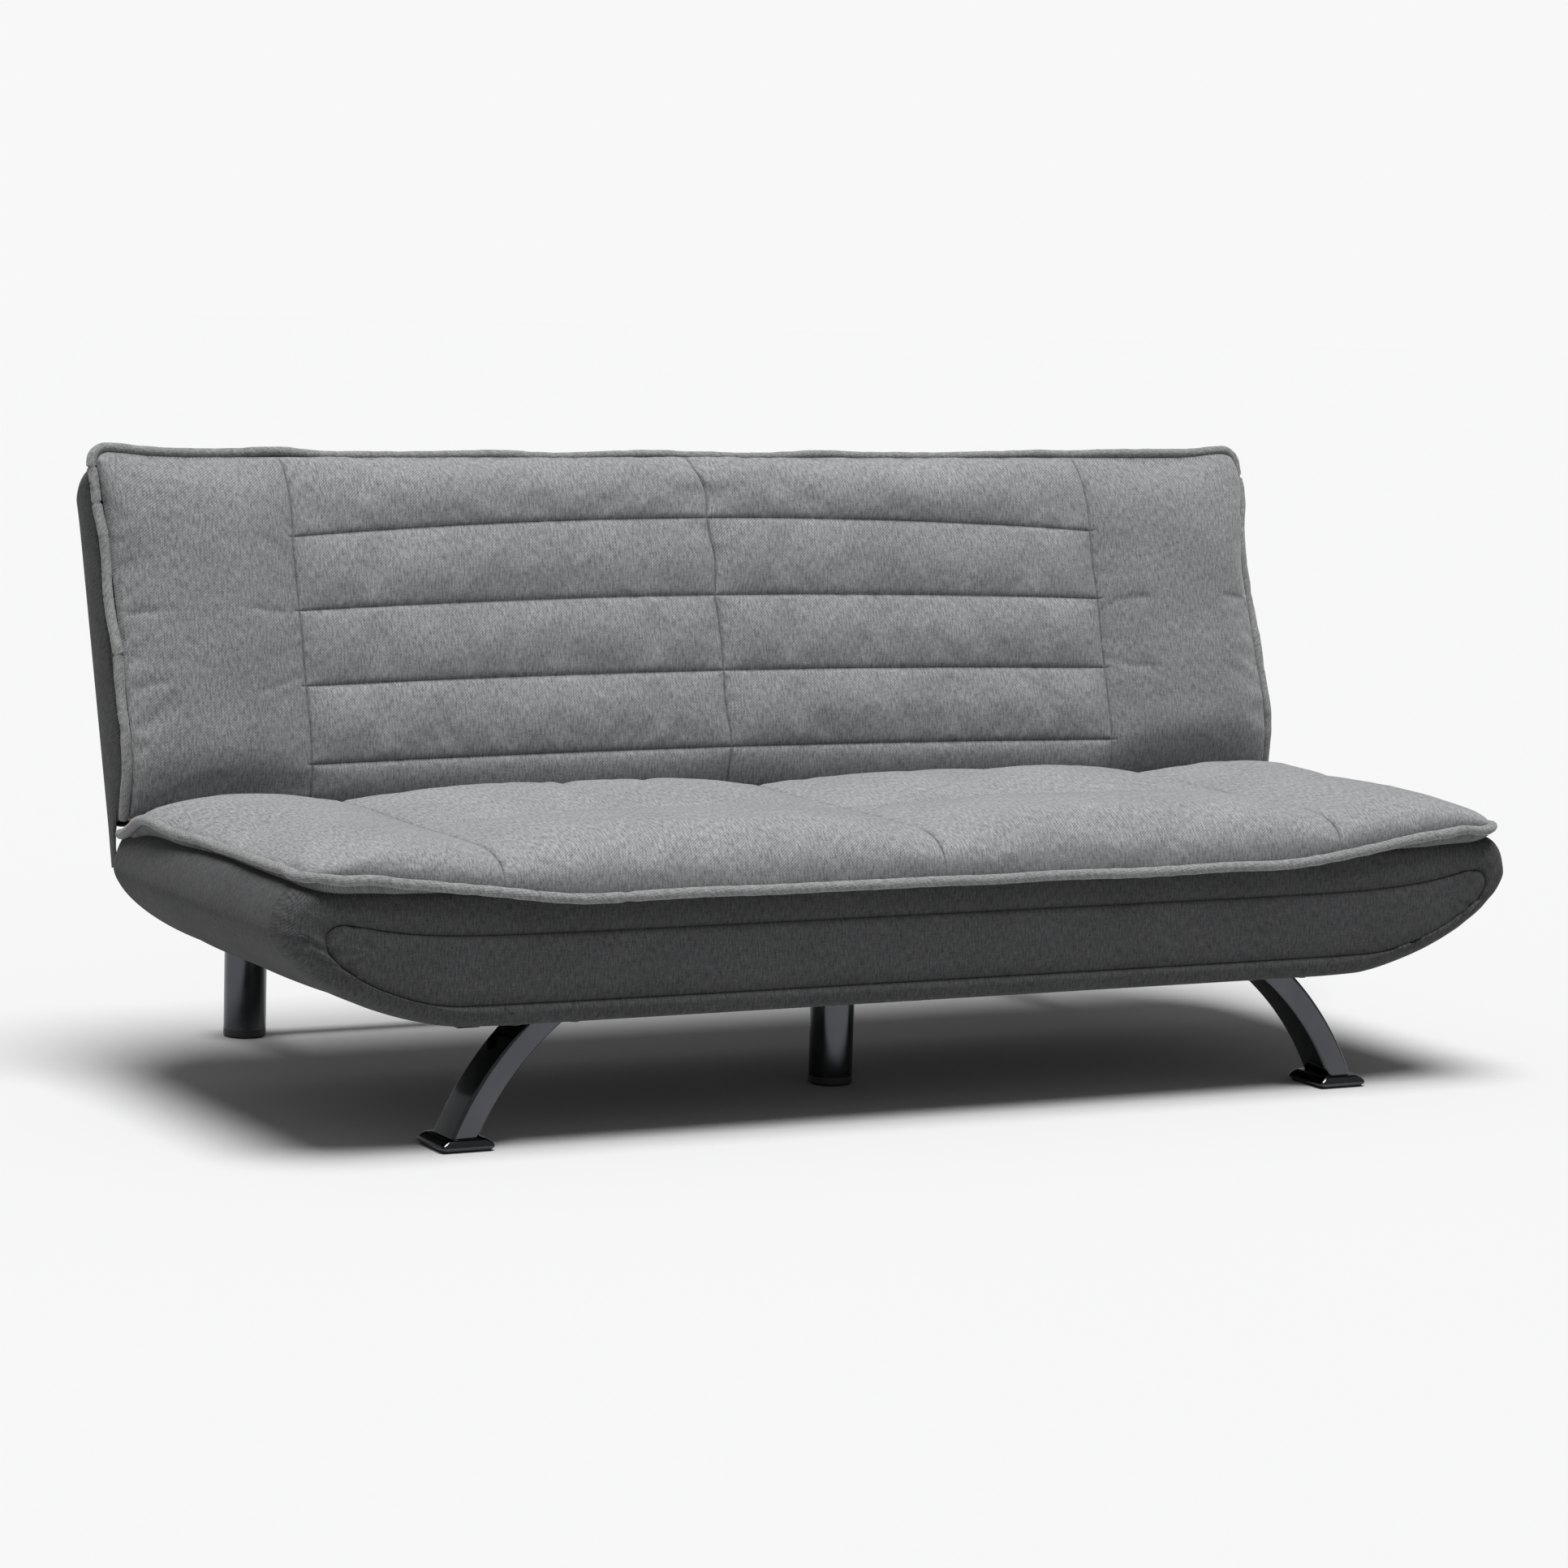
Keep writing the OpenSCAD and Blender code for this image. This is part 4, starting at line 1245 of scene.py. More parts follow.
    def pad(self, cloth: bpy.types.Material) -> Piece:
        """Builds the pad: sewn, filled, then its seams and folds drawn in.

        Args:
            cloth: the pad's finish.

        Returns:
            The pad.
        """
        q = self.quilt
        a_line, b_line = q.lines(10 * MM, 3 * MM)
        b, a = np.meshgrid(b_line, a_line, indexing="ij")
        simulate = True
        pts = self.shape(a, b, 0.5 if simulate else 1.0)
        uu, vv = np.meshgrid(a_line, b_line)
        piece = cloth_grid("back_cushion", pts, np.stack([uu, vv], axis=-1))
        remember(piece, flat_a=a, flat_b=b)
        if simulate:
            held = np.where(q.seam_depth(a, b, 2.2 * MM) > 0.9, 1.0, 0.0)
            held[[0, -1], :] = held[:, [0, -1]] = 1.0
            loose = q.puff(a, b) ** 0.6 * smooth_step((b - 0.06) / 0.07)
            puff_up(piece, held.reshape(-1), loose.reshape(-1), 1.6, 0.012)
        finer = piece.modifiers.new("finer", "SUBSURF")
        finer.levels = finer.render_levels = 1
        apply_modifiers(piece)
        a1, b1 = recall(piece, "flat_a"), recall(piece, "flat_b")
        out = outward(piece)
        inside = np.minimum.reduce([q.half - np.abs(a1), b1 - q.b_lo, q.b_hi - b1])
        still = smooth_step(inside / 0.012)
        groove = q.seam_depth(a1, b1, 3.5 * MM) * still
        gather = q.gathers(a1, b1)
        top_mid = np.exp(-((a1 + 0.02) / 0.05) ** 2) * np.exp(-((0.50 - b1) / 0.08) ** 2)
        gather += 2.2 * top_mid * ripple(b1, 35, 0.06) * (1 - np.exp(-np.abs(a1 + 0.014) / 0.006))
        move = 1.1 * MM * gather * still - 3.2 * MM * groove
        move += 1.0 * MM * still * (ripple(a1 + 0.4 * b1, 37, 0.5, 5) + ripple(b1 - 0.3 * a1, 39, 0.3, 5))
        put(piece, places(piece) + out * move[:, None])
        # Painted shade: dark lines in the seams and along the sides and top, and the lower rows darker where
        # shade falls under the light from above; the plain side columns are made darker as well.
        painted_shade = q.seam_depth(a1, b1, 1.6 * MM)
        edge = np.exp(-np.minimum(q.half - np.abs(a1), q.b_hi - b1) / 0.004)
        dim_sides_and_low_shade = 0.20 * (1 - self.centre(a1)) + 0.10 * smooth_step((0.30 - b1) / 0.3)
        painted_shade = painted_shade * smooth_step((inside + 0.01) / 0.01)
        write_painted_shade(piece, np.maximum.reduce([painted_shade, 0.8 * edge, dim_sides_and_low_shade]))

        def tuck(p: Field, inward: float, back: float) -> Field:
            """Border points moved in along the pad and back towards the frame.

            Args:
                p: the border points.
                inward: how far they move in.
                back: how far they move to the rear.

            Returns:
                The moved points.
            """
            c, s = math.cos(self.frame.lean), math.sin(self.frame.lean)
            dy, dz = p[:, 1] - self.frame.y, p[:, 2] - self.frame.z
            v, u = dy * c - dz * s, dy * s + dz * c
            mid = (self.low + self.high) / 2
            scale = 1 - inward / (self.high - mid)
            return self.frame.place(p[:, 0] * (1 - inward / self.half), v + back, mid + (u - mid) * scale)

        close_under(piece, [lambda p: tuck(p, 0.003, 0.002), lambda p: tuck(p, 0.004, 0.007)])
        shade_soft(piece, 70)
        dress(piece, cloth)
        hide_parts("back_pad")
        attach(piece, "backrest")
        return piece

    def border(self, side: float, top: float, low: float, r: float) -> Field:
        """A line up the left side, over the top and down the right, as x and u.

        Args:
            side: x of the sides.
            top: u of the top.
            low: u where the line starts and ends.
            r: the corner radius.

        Returns:
            n x 2 places; n doesn't depend on the sizes.
        """
        up = np.linspace(low, top - r, 70)
        arc = np.linspace(0, math.pi / 2, 12)
        run = np.linspace(-(side - r), side - r, 240)
        left = np.stack([np.full_like(up, -side), up], axis=1)
        bend = np.stack([-(side - r) - r * np.cos(arc), top - r + r * np.sin(arc)], axis=1)[1:-1]
        over = np.stack([run, np.full_like(run, top)], axis=1)
        return np.concatenate([left, bend, over, (bend * [-1, 1])[::-1], (left * [-1, 1])[::-1]])

    def piping(self, cloth: bpy.types.Material) -> Piece:
        """Builds the cord round the pad's sides and top.

        Args:
            cloth: the cord's finish.

        Returns:
            The cord.
        """
        line = self.border(self.half + 6 * MM, self.high + 6.5 * MM, self.low + 3 * MM, self.corner + 6 * MM)
        x, u = line[:, 0], line[:, 1]
        s = run_along(line)
        on_top = smooth_step((u - 0.50) / 0.03)
        hidden = on_top * smooth_step((0.60 - np.abs(x + 0.03)) / 0.08)
        u = u - 4.0 * MM * hidden + 1.5 * MM * on_top * ripple(s, 41, 0.3)
        v = self.border_v(u) + 3.0 * MM * ripple(s, 42, 0.22) * (1 - on_top) * smooth_step((u - 0.05) / 0.1)
        x = x + np.sign(x) * 1.5 * MM * ripple(s, 43, 0.18) * (1 - on_top) + self.flare(x, u)
        u = u + 7.0 * MM * np.exp(-((np.abs(x) - 0.905) / 0.06) ** 2) * on_top
        radius = self.cord * (1 + 0.05 * ripple(s, 44, 0.05))
        piece = cord_along("back_edge_piping", self.frame.place(x, v, u), radius)
        write_painted_shade(piece, np.zeros(len(piece.data.vertices)))
        dress(piece, cloth)
        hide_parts("back_piping")
        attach(piece, "backrest")
        return piece

    def rear_v(self, u: Field) -> Field:
        """Depth of the rear cover's face: thicker towards the top."""
        return 0.008 + 0.022 * np.clip((u - 0.041) / 0.466, 0, 1)

    def borders(self, cloth: bpy.types.Material) -> list[Piece]:
        """Builds the dark band between the piping and the rear cover, in three parts.

        Args:
            cloth: their finish.

        Returns:
            The left, top and right borders.
        """
        front = self.border(self.half + 5 * MM, self.high + 3 * MM, self.low, self.corner + 4 * MM)
        rear = self.border(self.shell_half, self.shell_high, self.skirt, self.shell_corner)
        seam = self.border_seam
        w = spaced([0.0, seam, 1.0], 0.09, 0.015)
        x = front[None, :, 0] * (1 - w[:, None]) + rear[None, :, 0] * w[:, None]
        low = smooth_step((0.12 - front[:, 1]) / 0.08)[None]
        share = w[:, None] * (1 - low) + smooth_step((w - 0.40) / 0.12)[:, None] * low
        u = front[None, :, 1] * (1 - share) + rear[None, :, 1] * share
        v_front = self.border_v(front[:, 1]) + 4.0 * MM
        v_rear = self.rear_v(rear[:, 1]) - 5 * MM
        v = v_front[None] * (1 - w[:, None]) + v_rear[None] * w[:, None]
        s = run_along(rear)
        swell = 4.0 * MM * np.sin(math.pi * np.clip((w - seam) / (1 - seam), 0, 1))[:, None]
        swell = swell + 1.5 * MM * np.sin(math.pi * np.clip(w / seam, 0, 1))[:, None]
        fold = 0.8 * MM * ripple(s, 51, 0.16)[None] * np.sin(math.pi * w)[:, None]
        groove = 2.5 * MM * np.exp(-np.abs(w - seam) / 0.03)[:, None]
        norm = -square_to(rear)
        push = swell + fold - groove
        x, u = x + norm[None, :, 0] * push, u + norm[None, :, 1] * push
        x = x + self.flare(x, u) * self.near_side(x) * (1 - 0.4 * w[:, None])
        pts = self.frame.place(x, v, u)
        uv = np.stack([np.broadcast_to(s, x.shape), np.broadcast_to(w[:, None] * 0.075, x.shape)], axis=-1)
        # Painted shade along the border's seam and where it meets the pad.
        painted_shade = np.exp(-np.abs(w - seam) / 0.02)[:, None] + 0.8 * np.exp(-w / 0.03)[:, None]
        painted_shade = np.broadcast_to(painted_shade, x.shape)
        cut_l, cut_r = 75, len(rear) - 76
        made = []
        for name, lo, hi in (("left", 0, cut_l), ("top", cut_l, cut_r), ("right", cut_r, len(rear) - 1)):
            piece = cloth_grid(f"back_border_{name}", pts[:, lo:hi + 1].copy(), uv[:, lo:hi + 1].copy())
            write_painted_shade(piece, painted_shade[:, lo:hi + 1].copy())
            merge_and_face_out(piece)
            self.turn_out(piece)
            thicken(piece, 2.5 * MM)
            shade_soft(piece, 70)
            dress(piece, cloth)
            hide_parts(f"back_boxing_{name}")
            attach(piece, "backrest")
            made.append(piece)
        return made

    def turn_out(self, piece: Piece) -> None:
        """Turns an open sheet so that its faces look away from the backrest's middle.

        Args:
            piece: the sheet.
        """
        co, out = places(piece), outward(piece)
        middle = self.frame.place(np.array([0.0]), np.array([-0.02]), np.array([0.27]))[0]
        if float(np.sum((co - middle) * out)) < 0:
            turn_over(piece)

    def rear_cover(self, cloth: bpy.types.Material) -> Piece:
        """Builds the taut rear cover with its rolled edges.

        Args:
            cloth: the cover's finish.

        Returns:
            The cover.
        """
        half, high, turned_in, rows = self.shell_half, self.shell_high, 34 * MM, 5
        a_line = spaced([-half, half], 14 * MM, 2 * MM)
        b_line = spaced([self.low - 1 * MM, high], 14 * MM, 2 * MM)
        b, a = np.meshgrid(b_line, a_line, indexing="ij")
        roll = 14 * MM
        lift = rise(half - np.abs(a), roll, 2.0) * rise(high - b, roll, 2.0) * rise(b - b_line[0], roll, 2.0)
        soft = np.minimum.reduce([half - np.abs(a), high - b, b - b_line[0]])
        v = self.rear_v(b) - 9 * MM + 9 * MM * lift + 3.5 * MM * smooth_step(soft / 0.14)
        v += 0.6 * MM * smooth_step(soft / 0.05) * (ripple(a + 0.3 * b, 61, 0.4) + ripple(b, 62, 0.2))
        x, u = round_corners(a, b, half, high, -1.0, self.shell_corner)
        x = x + self.flare(x, u) * self.near_side(x) * 0.6
        pts = self.frame.place(x, v, u)
        under = smooth_step((0.835 - np.abs(a_line)) / 0.01)
        flap = []
        for part in (1.0, 0.75, 0.5, 0.25, 0.06):
            v = self.rear_v(b_line[:1]) - 9 * MM - turned_in * part * under
            flap.append(self.frame.place(a_line, v, b_line[0] - 0.5 * MM * under))
        pts = np.concatenate([np.array(flap), pts])
        a = np.concatenate([np.tile(a_line, (rows, 1)), a])
        below = np.array([0.05, 0.04, 0.03, 0.02, 0.01])
        b = np.concatenate([b_line[0] - np.outer(below, np.ones(len(a_line))), b])
        soft = np.concatenate([np.ones((rows, len(a_line))), soft])
        piece = cloth_grid("back_rear_cloth", pts, np.stack([a, b], axis=-1))
        # Painted shade along the rolled edges of the cover.
        write_painted_shade(piece, np.exp(-soft / 0.002) * 0.7)
        merge_and_face_out(piece)
        self.turn_out(piece)
        thicken(piece, 3.0 * MM)
        shade_soft(piece, 70)
        dress(piece, cloth)
        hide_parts("back_rear_cover")
        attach(piece, "backrest")
        return piece


# ---------------------------------------------------------------- hull

@dataclass
class Hull:
    """The boat-shaped upholstered seat body: front panel, two sides and the rear.

    Attributes:
        half: half its width, out to the tips.
        top: height of its flat top.
        keel: height of its underside.
        wide: height at which it is widest.
        flat: x where the straight underside ends.
        run: how far the curved end reaches beyond that.
        shoulder: how far the top lifts towards the tips.
        sheer: how full the curved end is; 2 is an ellipse.
        front: y of the front panel.
        rear: y of the rear panel.
        seam: x of the short seams across the underside.
    """

    half: float = 0.921
    top: float = 0.331
    keel: float = 0.159
    wide: float = 0.290
    flat: float = 0.672
    run: float = 0.249
    shoulder: float = 0.013
    sheer: float = 1.6
    front: float = -0.452
    rear: float = 0.154
    seam: float = 0.610

    def outline(self) -> Field:
        """The boat outline as x and z, from the middle of the top round by the right.

        Returns:
            n x 2 points.
        """
        r = self.top - self.wide
        centre = self.half - r
        run_top = np.linspace(0, centre, 90)
        parts = [np.stack([run_top, np.full(90, self.top)], axis=1)]
        arc = np.linspace(math.pi / 2, 0, 16)[1:]
        parts.append(np.stack([centre + r * np.cos(arc), self.wide + r * np.sin(arc)], axis=1))
        turn = np.linspace(math.pi / 2, 0, 40)[1:]
        drop = self.wide - self.keel
        parts.append(np.stack([self.flat + self.run * np.sin(turn) ** (2 / self.sheer),
                               self.wide - drop * np.cos(turn) ** (2 / self.sheer)], axis=1))
        run_low = spaced([0.0, self.seam, self.flat], 14 * MM, 1.2 * MM)[::-1][1:]
        parts.append(np.stack([run_low, np.full(len(run_low), self.keel)], axis=1))
        right = np.concatenate(parts)
        right[:, 1] += (self.shoulder * smooth_step((right[:, 0] - 0.55) / 0.25)
                        * smooth_step((right[:, 1] - 0.292) / 0.036))
        left = (right * [-1, 1])[::-1][1:]
        return np.concatenate([right, left])

    def curved(self, line: Field) -> Field:
        """0 along the straight middle of the outline and 1 along its curved ends."""
        return smooth_step((np.abs(line[:, 0]) - 0.60) / 0.16)

    def roll_depth(self, line: Field) -> Field:
        """How far back the front and rear edges start to roll over."""
        return 0.015 + 0.028 * self.curved(line)

    def stadium(self) -> Field:
        """The inset seam of the front panel as x and z, from the middle of the top to that of the bottom.

        Returns:
            n x 2 points.
        """
        line = np.array([(0.0, 0.2745), (0.58, 0.2745), (0.70, 0.277), (0.78, 0.284), (0.832, 0.295),
                         (0.864, 0.300), (0.880, 0.284), (0.872, 0.258), (0.832, 0.228), (0.780, 0.204),
                         (0.718, 0.190), (0.66, 0.187), (0.0, 0.187)])
        for _ in range(4):
            a, b = line[:-1], line[1:]
            cut = np.stack([0.75 * a + 0.25 * b, 0.25 * a + 0.75 * b], axis=1).reshape(-1, 2)
            line = np.concatenate([line[:1], cut, line[-1:]])
        return line

    def panel_seam(self, line: Field) -> Field:
        """The inset seam of the front panel, point by point beside the outline.

        Args:
            line: the outline as outline() gives it.

        Returns:
            As many points, on the seam.
        """
        seam = self.stadium()
        far = run_along(seam)
        half = (len(line) + 1) // 2
        right = line[:half]
        run = run_along(right)
        stops = [(0, 0.2745), (0.846, 0.297), (0.876, 0.276), (0.690, 0.188), (0, 0.187)]
        marks = [(0, self.top), (self.half - 0.041, self.top + self.shoulder), (self.half, self.wide),
                 (self.flat, self.keel), (0, self.keel)]
        seam_at = [far[np.argmin(np.hypot(*(seam - np.array(q)).T))] for q in stops]
        line_at = [run[np.argmin(np.hypot(*(right - np.array(q)).T))] for q in marks]
        at = np.interp(run, line_at, seam_at)
        found = np.stack([np.interp(at, far, seam[:, 0]), np.interp(at, far, seam[:, 1])], axis=1)
        left = found * [-1, 1]
        left[:, 0] *= 1 - 0.016 * smooth_step((found[:, 0] - 0.60) / 0.2)
        return np.concatenate([found, left[::-1][1:]])

    def end_panel(self, name: str, y: float, outward_y: float, sewn: bool,
                  cloth: bpy.types.Material) -> Piece:
        """Builds the front or the rear panel with its rolled edge.

        Args:
            name: the piece's name.
            y: the panel's plane.
            outward_y: -1 for the front and +1 for the rear.
            sewn: whether the panel has the inset seam.
            cloth: its finish.

        Returns:
            The panel.
        """
        edge = self.outline()
        seam = self.panel_seam(edge)
        spine = np.stack([np.clip(seam[:, 0], -0.80, 0.80), np.full(len(edge), 0.236)], axis=1)
        spine[:, 1] += 0.028 * smooth_step((np.abs(seam[:, 0]) - 0.55) / 0.25)
        norm = square_to(edge)
        curved = self.curved(edge)
        roll, reach = 0.013 + 0.012 * curved, self.roll_depth(edge)
        if outward_y > 0:
            roll, reach = roll * 0.5, reach * 0.35
        rings, back, depth = [], [], []
        for t in np.linspace(0, 1, 9):
            turn = t * math.pi / 2
            inward = roll * (1 - np.cos(turn) ** (2 / 2.3))
            rings.append(edge + norm * inward[:, None])
            back.append(reach * (1 - np.sin(turn) ** (2 / 2.3)))
            # Painted shade at the outer rim of the roll.
            depth.append(np.full(len(edge), 0.5 * math.exp(-t * 9)))
        start = rings[-1]
        for t in (0.25, 0.5, 0.72, 0.86, 0.94, 1.0):
            rings.append(start * (1 - t) + seam * t)
            gap = np.linalg.norm(seam - start, axis=1) * (1 - t)
            back.append(2.6 * MM * np.exp(-gap / 0.004) * sewn - 2.0 * MM * math.sin(math.pi * t))
            # Painted shade in the inset seam and in the short seams underneath.
            short = np.exp(-np.abs(np.abs(start[:, 0]) - self.seam) / 0.0012) * (edge[:, 1] < 0.20)
            depth.append(np.maximum(np.exp(-gap / 0.0016), 0.8 * short) * sewn)
        for t in (0.03, 0.07, 0.13, 0.22, 0.34, 0.48, 0.64, 0.82, 1.0):
            rings.append(seam * (1 - t) + spine * t)
            gap = np.linalg.norm(spine - seam, axis=1) * t
            back.append(2.6 * MM * np.exp(-gap / 0.004) * sewn - 3.5 * MM * (1 - math.exp(-t * 5)))
            # Painted shade in the inset seam.
            depth.append(np.exp(-gap / 0.0016) * sewn)
        ring = np.array(rings)
        push = np.array(back)
        s = run_along(edge)
        loose = np.sin(np.linspace(0, math.pi, len(rings)))[:, None]
        tip = smooth_step((np.abs(edge[:, 0]) - 0.80) / 0.08)[None]
        push = push - 0.5 * MM * loose * ripple(s, 71, 0.3)[None]
        push = push - 1.3 * MM * loose * tip * ripple(s, 72, 0.05)[None]
        pts = np.stack([ring[..., 0], y - outward_y * push, ring[..., 1]], axis=-1)
        pts = np.concatenate([pts, pts[:, :1]], axis=1)
        uv = np.stack([pts[..., 0], pts[..., 2]], axis=-1)
        painted_shade = np.array(depth)
        painted_shade = np.concatenate([painted_shade, painted_shade[:, :1]], axis=1)
        piece = cloth_grid(name, pts, uv)
        write_painted_shade(piece, painted_shade)
        merge_and_face_out(piece)
        if float(outward(piece)[:, 1].sum()) * outward_y < 0:
            turn_over(piece)
        thicken(piece, 2.5 * MM)
        shade_soft(piece, 70)
        dress(piece, cloth)
        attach(piece, "base")
        return piece

    def side_cloth(self, side: int, cloth: bpy.types.Material) -> Piece:
        """Builds the cloth round one side, from under the pad to the short seam underneath.

        Args:
            side: -1 for the left side and +1 for the right one.
            cloth: its finish.

        Returns:
            The cloth.
        """
        edge = self.outline()
        right = edge[:(len(edge) + 1) // 2]
        low = right[:, 1] < self.wide
        keep = np.where(low, right[:, 0] >= self.seam - 1e-6, right[:, 0] > 0.79)
        line = right[keep]
        line[:, 0] *= side
        y0 = self.front + self.roll_depth(line)
        y1 = self.rear - self.roll_depth(line) * 0.35
        w = spaced([0.0, 1.0], 0.025, 0.006)
        y = y0[None] * (1 - w[:, None]) + y1[None] * w[:, None]
        norm = -side * square_to(line)
        s = run_along(line)
        hold = smooth_step(np.minimum(s, s[-1] - s) / 0.05)
        arch = np.sin(math.pi * w)[:, None]
        push = (2.5 * MM * arch + 0.8 * MM * ripple(w * 0.6, 81 + side, 0.25)[:, None]
                + 0.5 * MM * ripple(s, 83 + side, 0.2)[None]) * hold[None] * arch ** 0.5
        x = line[None, :, 0] + norm[None, :, 0] * push
        z = line[None, :, 1] + norm[None, :, 1] * push
        pts = np.stack([x, y, z], axis=-1)
        uv = np.stack([y, np.broadcast_to(s, y.shape)], axis=-1)
        name = "left" if side < 0 else "right"
        piece = cloth_grid(f"hull_side_{name}", pts, uv)
        # Painted shade in the short seam underneath.
        write_painted_shade(piece, np.broadcast_to(0.9 * np.exp(-(s[-1] - s) / 0.002), y.shape).copy())
        merge_and_face_out(piece)
        if float(outward(piece)[:, 0].sum()) * side < 0:
            turn_over(piece)
        thicken(piece, 2.5 * MM)
        shade_soft(piece, 70)
        dress(piece, cloth)
        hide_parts(f"side_cover_{name}")
        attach(piece, "base")
        return piece

    def build(self, cloth: bpy.types.Material) -> list[Piece]:
        """Builds the four covers.

        Args:
            cloth: their finish.

        Returns:
            The front, the rear and the two sides.
        """
        front = self.end_panel("hull_front", self.front, -1.0, True, cloth)
        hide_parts("front_cover")
        rear = self.end_panel("hull_rear", self.rear, 1.0, False, cloth)
        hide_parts("rear_cover")
        return [front, rear, self.side_cloth(-1, cloth), self.side_cloth(1, cloth)]


# ---------------------------------------------------------------- legs

@dataclass
class FrontLeg:
    """A front leg: a curved rectangular tube on a domed foot plate.

    Attributes:
        foot_x: how far out the foot stands.
        y: where the leg stands in depth.
        radius: radius of the tube's middle line.
        lean: how far the tube has turned from upright at the foot.
        low: height of the tube's lower end.
        high: height of its upper end.
        wide: width of the tube's section.
        deep: depth of the section.
        arris: radius of the section's corners.
        foot: width and depth of the foot plate.
    """

    foot_x: float = 0.661
    y: float = -0.398
    radius: float = 0.400
    lean: float = math.radians(24)
    low: float = 0.016
    high: float = 0.160
    wide: float = 0.034
    deep: float = 0.062
    arris: float = 5 * MM
    foot: tuple[float, float] = (0.072, 0.084)

    def tube(self, side: int, finish: bpy.types.Material) -> Piece:
        """Builds the curved tube by spinning its rounded section.

        Args:
            side: -1 for the left leg and +1 for the right one.
            finish: its finish.

        Returns:
            The tube.
        """
        name = "left" if side < 0 else "right"
        centre = (side * (self.foot_x - self.radius * math.cos(self.lean)), self.y,
                  self.low - self.radius * math.sin(self.lean))
        start = self.lean - math.radians(5)
        end = math.asin(math.sin(self.lean) + (self.high - self.low) / self.radius) + math.radians(8)
        bpy.ops.object.select_all(action="DESELECT")
        bpy.ops.mesh.primitive_plane_add(size=1.0, location=(0, 0, 0))
        piece = bpy.context.object
        piece.name = piece.data.name = f"curved_leg_{name}"
        bpy.ops.object.mode_set(mode="EDIT")
        bpy.ops.mesh.select_all(action="SELECT")
        bpy.ops.transform.resize(value=(self.wide, self.deep, 1), center_override=(0, 0, 0))
        bpy.ops.mesh.bevel(offset=self.arris, segments=5, affect="VERTICES")
        bpy.ops.object.mode_set(mode="OBJECT")
        co = places(piece)
        reach = self.radius + co[:, 0]
        put(piece, np.stack([centre[0] + side * reach * math.cos(start), centre[1] + co[:, 1],
                             centre[2] + reach * math.sin(start)], axis=1))
        bpy.ops.object.mode_set(mode="EDIT")
        bpy.ops.mesh.select_all(action="SELECT")
        bpy.ops.mesh.spin(steps=48, angle=side * (end - start), center=centre, axis=(0, 1, 0))
        bpy.ops.mesh.select_all(action="SELECT")
        bpy.ops.mesh.bisect(plane_co=(0, 0, self.low), plane_no=(0, 0, 1), use_fill=True,
                            clear_inner=True)
        bpy.ops.mesh.select_all(action="SELECT")
        bpy.ops.mesh.bisect(plane_co=(0, 0, self.high), plane_no=(0, 0, 1), use_fill=True,
                            clear_outer=True)
        bpy.ops.object.mode_set(mode="OBJECT")
        merge_and_face_out(piece)
        shade_soft(piece, 40)
        dress(piece, finish)
        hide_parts(f"front_leg_{name}")
        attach(piece, "base")
        return piece

    def foot_plate(self, side: int, finish: bpy.types.Material) -> Piece:
        """Builds the domed foot plate by extruding its outline upwards and inwards.

        Args:
            side: -1 for the left foot and +1 for the right one.
            finish: its finish.

        Returns:
            The foot plate.
        """
        name = "left" if side < 0 else "right"
        base = 3 * MM
        where = (side * self.foot_x, self.y, base)
        bpy.ops.object.select_all(action="DESELECT")
        bpy.ops.mesh.primitive_plane_add(size=1.0, location=(0, 0, 0))
        piece = bpy.context.object
        piece.name = piece.data.name = f"domed_foot_{name}"
        bpy.ops.object.mode_set(mode="EDIT")
        bpy.ops.mesh.select_all(action="SELECT")
        bpy.ops.transform.resize(value=(self.foot[0] - 2 * MM, self.foot[1] - 2 * MM, 1),
                                 center_override=(0, 0, 0))
        bpy.ops.mesh.bevel(offset=6 * MM, segments=5, affect="VERTICES")
        bpy.ops.transform.translate(value=where)
        middle = (where[0], where[1], 0)
        steps = [(1.5, 4.5), (2.5, 0.5), (1.5, -1.5), (2.0, -3.5), (2.2, -5.0), (1.8, -6.0),
                 (1.2, -5.0), (0.3, -2.0)]
        wide, deep = self.foot[0] - 2 * MM, self.foot[1] - 2 * MM
        for up, grow in steps:
            bpy.ops.mesh.extrude_region_move(TRANSFORM_OT_translate={"value": (0, 0, up * MM)})
            to_wide, to_deep = wide + grow * MM * 0.95, deep + grow * MM * 0.55
            bpy.ops.transform.resize(value=(to_wide / wide, to_deep / deep, 1), center_override=middle)
            wide, deep = to_wide, to_deep
        bpy.ops.object.mode_set(mode="OBJECT")
        merge_and_face_out(piece)
        shade_soft(piece, 28)
        dress(piece, finish)
        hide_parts(f"front_foot_{name}")
        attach(piece, "base")
        return piece

    def build(self, leg: bpy.types.Material, foot: bpy.types.Material) -> list[Piece]:
        """Builds both front legs with their feet."""
        return [made for side in (-1, 1) for made in (self.tube(side, leg), self.foot_plate(side, foot))]


# ---------------------------------------------------------------- studio

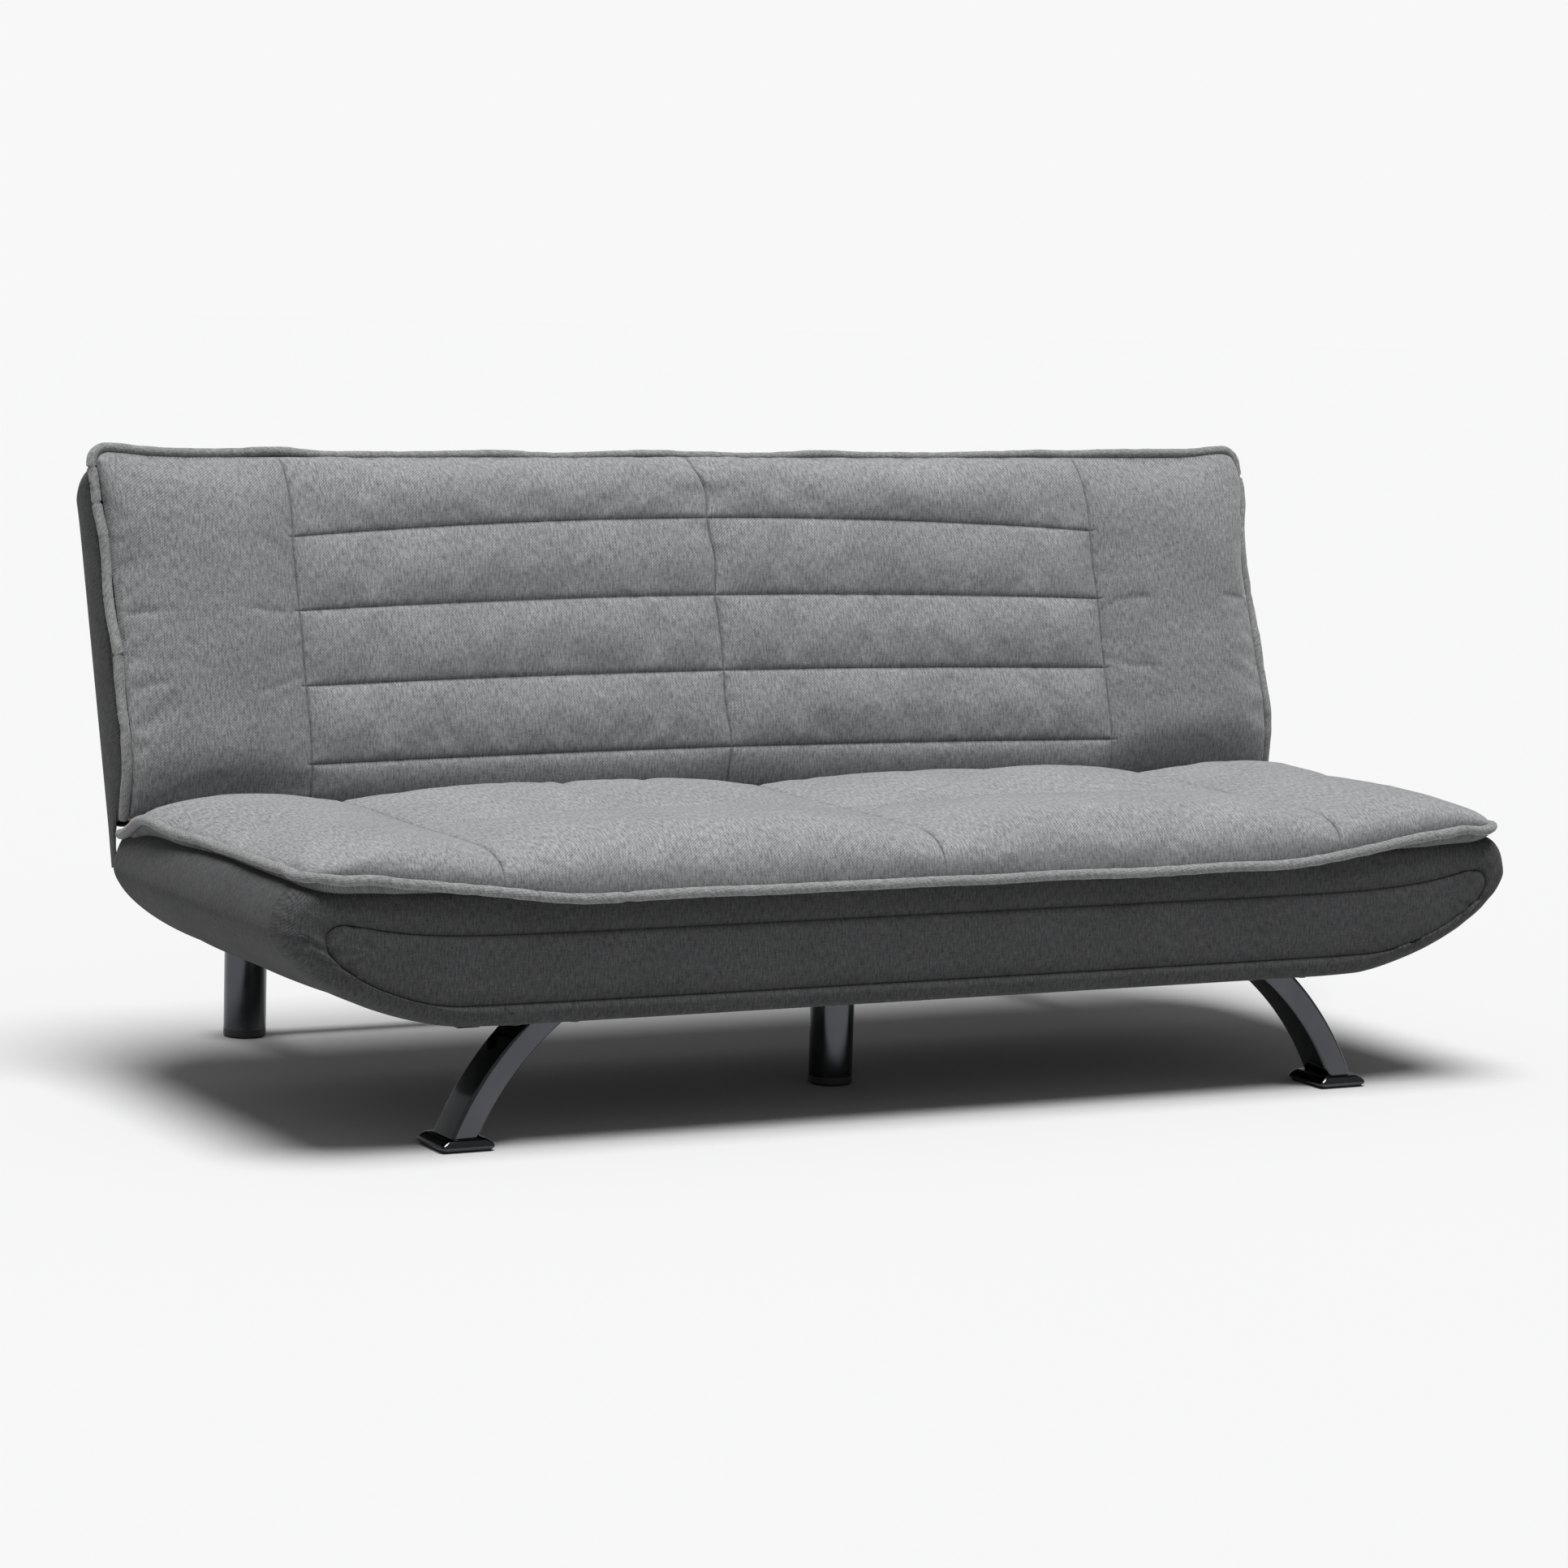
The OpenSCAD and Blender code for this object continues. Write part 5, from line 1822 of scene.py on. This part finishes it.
@dataclass
class Studio:
    """A plain pale sweep, soft light from above and the camera."""

    azimuth: float = 28.16
    pitch: float = 6.93
    roll: float = 1.66
    lens: float = 109.0
    eye: tuple[float, float, float] = (-3.081, -5.767, 1.186)
    floor_paint: tuple[float, float, float] = (0.515, 0.515, 0.516)
    air: float = 0.25
    distance: float = 0.939

    def camera(self) -> None:
        """Adds the camera and makes it the scene's."""
        data = bpy.data.cameras.new("studio_camera")
        data.lens, data.sensor_width = self.lens, 36.0
        data.clip_end = 100.0
        camera = bpy.data.objects.new("studio_camera", data)
        bpy.context.collection.objects.link(camera)
        turn = (Matrix.Rotation(-math.radians(self.azimuth), 4, "Z")
                @ Matrix.Rotation(math.pi / 2 - math.radians(self.pitch), 4, "X")
                @ Matrix.Rotation(math.radians(self.roll), 4, "Z"))
        camera.matrix_world = Matrix.Translation(self.eye) @ turn
        bpy.context.scene.camera = camera

    def floor(self) -> None:
        """Adds the pale floor."""
        bpy.ops.object.select_all(action="DESELECT")
        bpy.ops.mesh.primitive_circle_add(vertices=96, radius=40.0, fill_type="NGON", location=(0, 0, 0))
        floor = bpy.context.object
        floor.name = "studio_floor"
        b = Bench("pale_floor")
        cloud = b.noise(b.space("Object", (0.8, 0.8, 0.8)), 1.0, 2.0)
        low = tuple(0.995 * c for c in self.floor_paint)
        b.join(b.blend(cloud, low, self.floor_paint), b.shader.inputs["Base Color"])
        b.surface(roughness=1.0, specular_ior_level=0.0)
        dress(floor, b.material)

    def sun(self, name: str, azimuth: float, height: float, strength: float, spread: float) -> None:
        """Adds a far, broad lamp.

        Args:
            name: the lamp's name.
            azimuth: where it stands, in degrees from straight in front towards the right.
            height: its height above the floor, in degrees.
            strength: its strength.
            spread: how broad it looks, in degrees.
        """
        data = bpy.data.lights.new(name, "SUN")
        data.energy, data.angle = strength, math.radians(spread)
        lamp = bpy.data.objects.new(name, data)
        bpy.context.collection.objects.link(lamp)
        a, h = math.radians(azimuth), math.radians(height)
        toward = Vector((math.sin(a) * math.cos(h), -math.cos(a) * math.cos(h), math.sin(h)))
        lamp.matrix_world = (Matrix.Translation(toward * 5)
                             @ toward.to_track_quat("Z", "Y").to_matrix().to_4x4())

    def build(self) -> None:
        """Sets up the whole studio."""
        self.camera()
        self.floor()
        self.sun("overhead", -10, 80, 5.0, 36)
        world = bpy.data.worlds.new("studio_air")
        world.use_nodes = True
        tree = world.node_tree
        air = tree.nodes["Background"]
        air.inputs["Color"].default_value = (1, 1, 1, 1)
        air.inputs["Strength"].default_value = self.air
        wall = tree.nodes.new("ShaderNodeBackground")
        wall.inputs["Color"].default_value = (1, 1, 1, 1)
        wall.inputs["Strength"].default_value = self.distance
        choose = tree.nodes.new("ShaderNodeMixShader")
        seen = tree.nodes.new("ShaderNodeLightPath")
        tree.links.new(seen.outputs["Is Camera Ray"], choose.inputs[0])
        tree.links.new(air.outputs[0], choose.inputs[1])
        tree.links.new(wall.outputs[0], choose.inputs[2])
        tree.links.new(choose.outputs[0], tree.nodes["World Output"].inputs["Surface"])
        bpy.context.scene.world = world
        bpy.context.scene.view_settings.view_transform = "Standard"


# ---------------------------------------------------------------- the whole sofa

class Sofa:
    """All of the sofa's pieces and finishes."""

    def __init__(self, frame: dict) -> None:
        """Keeps the loaded frame and makes the finishes."""
        self.frame = frame
        self.finishes = {slot: finish.make() for slot, finish in FRAME_FINISHES.items()}

    def dress_frame(self) -> None:
        """Gives every CAD node the finish of its material slot, and the leg bolts the frame's paint."""
        slots = {part["node"]: part["material_slot"] for part in self.frame["record"]["subparts"]}
        slots["leg_bolts"] = "frame_paint"
        for name, node in self.frame["nodes"].items():
            dress(node, self.finishes[slots[name]])

    def build(self) -> None:
        """Builds every new piece in order."""
        pad, cord, hull = (self.finishes[s] for s in ("pad_fabric", "piping_fabric", "hull_fabric"))
        seat, back = SeatCushion(), BackCushion()
        made = [seat.pad(pad), seat.piping(cord), back.pad(pad), back.piping(cord),
                back.rear_cover(hull), *back.borders(hull), *Hull().build(hull),
                *FrontLeg().build(self.finishes["leg_chrome"], self.finishes["foot_chrome"])]
        for piece in made:
            log.info("%s: %d faces", piece.name, len(piece.data.polygons))


def main() -> None:
    """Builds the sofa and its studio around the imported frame."""
    logging.basicConfig(level=logging.INFO, format="%(name)s: %(message)s")
    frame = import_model()
    sofa = Sofa(frame)
    Studio().build()
    sofa.dress_frame()
    sofa.build()


if __name__ == "__main__":
    main()
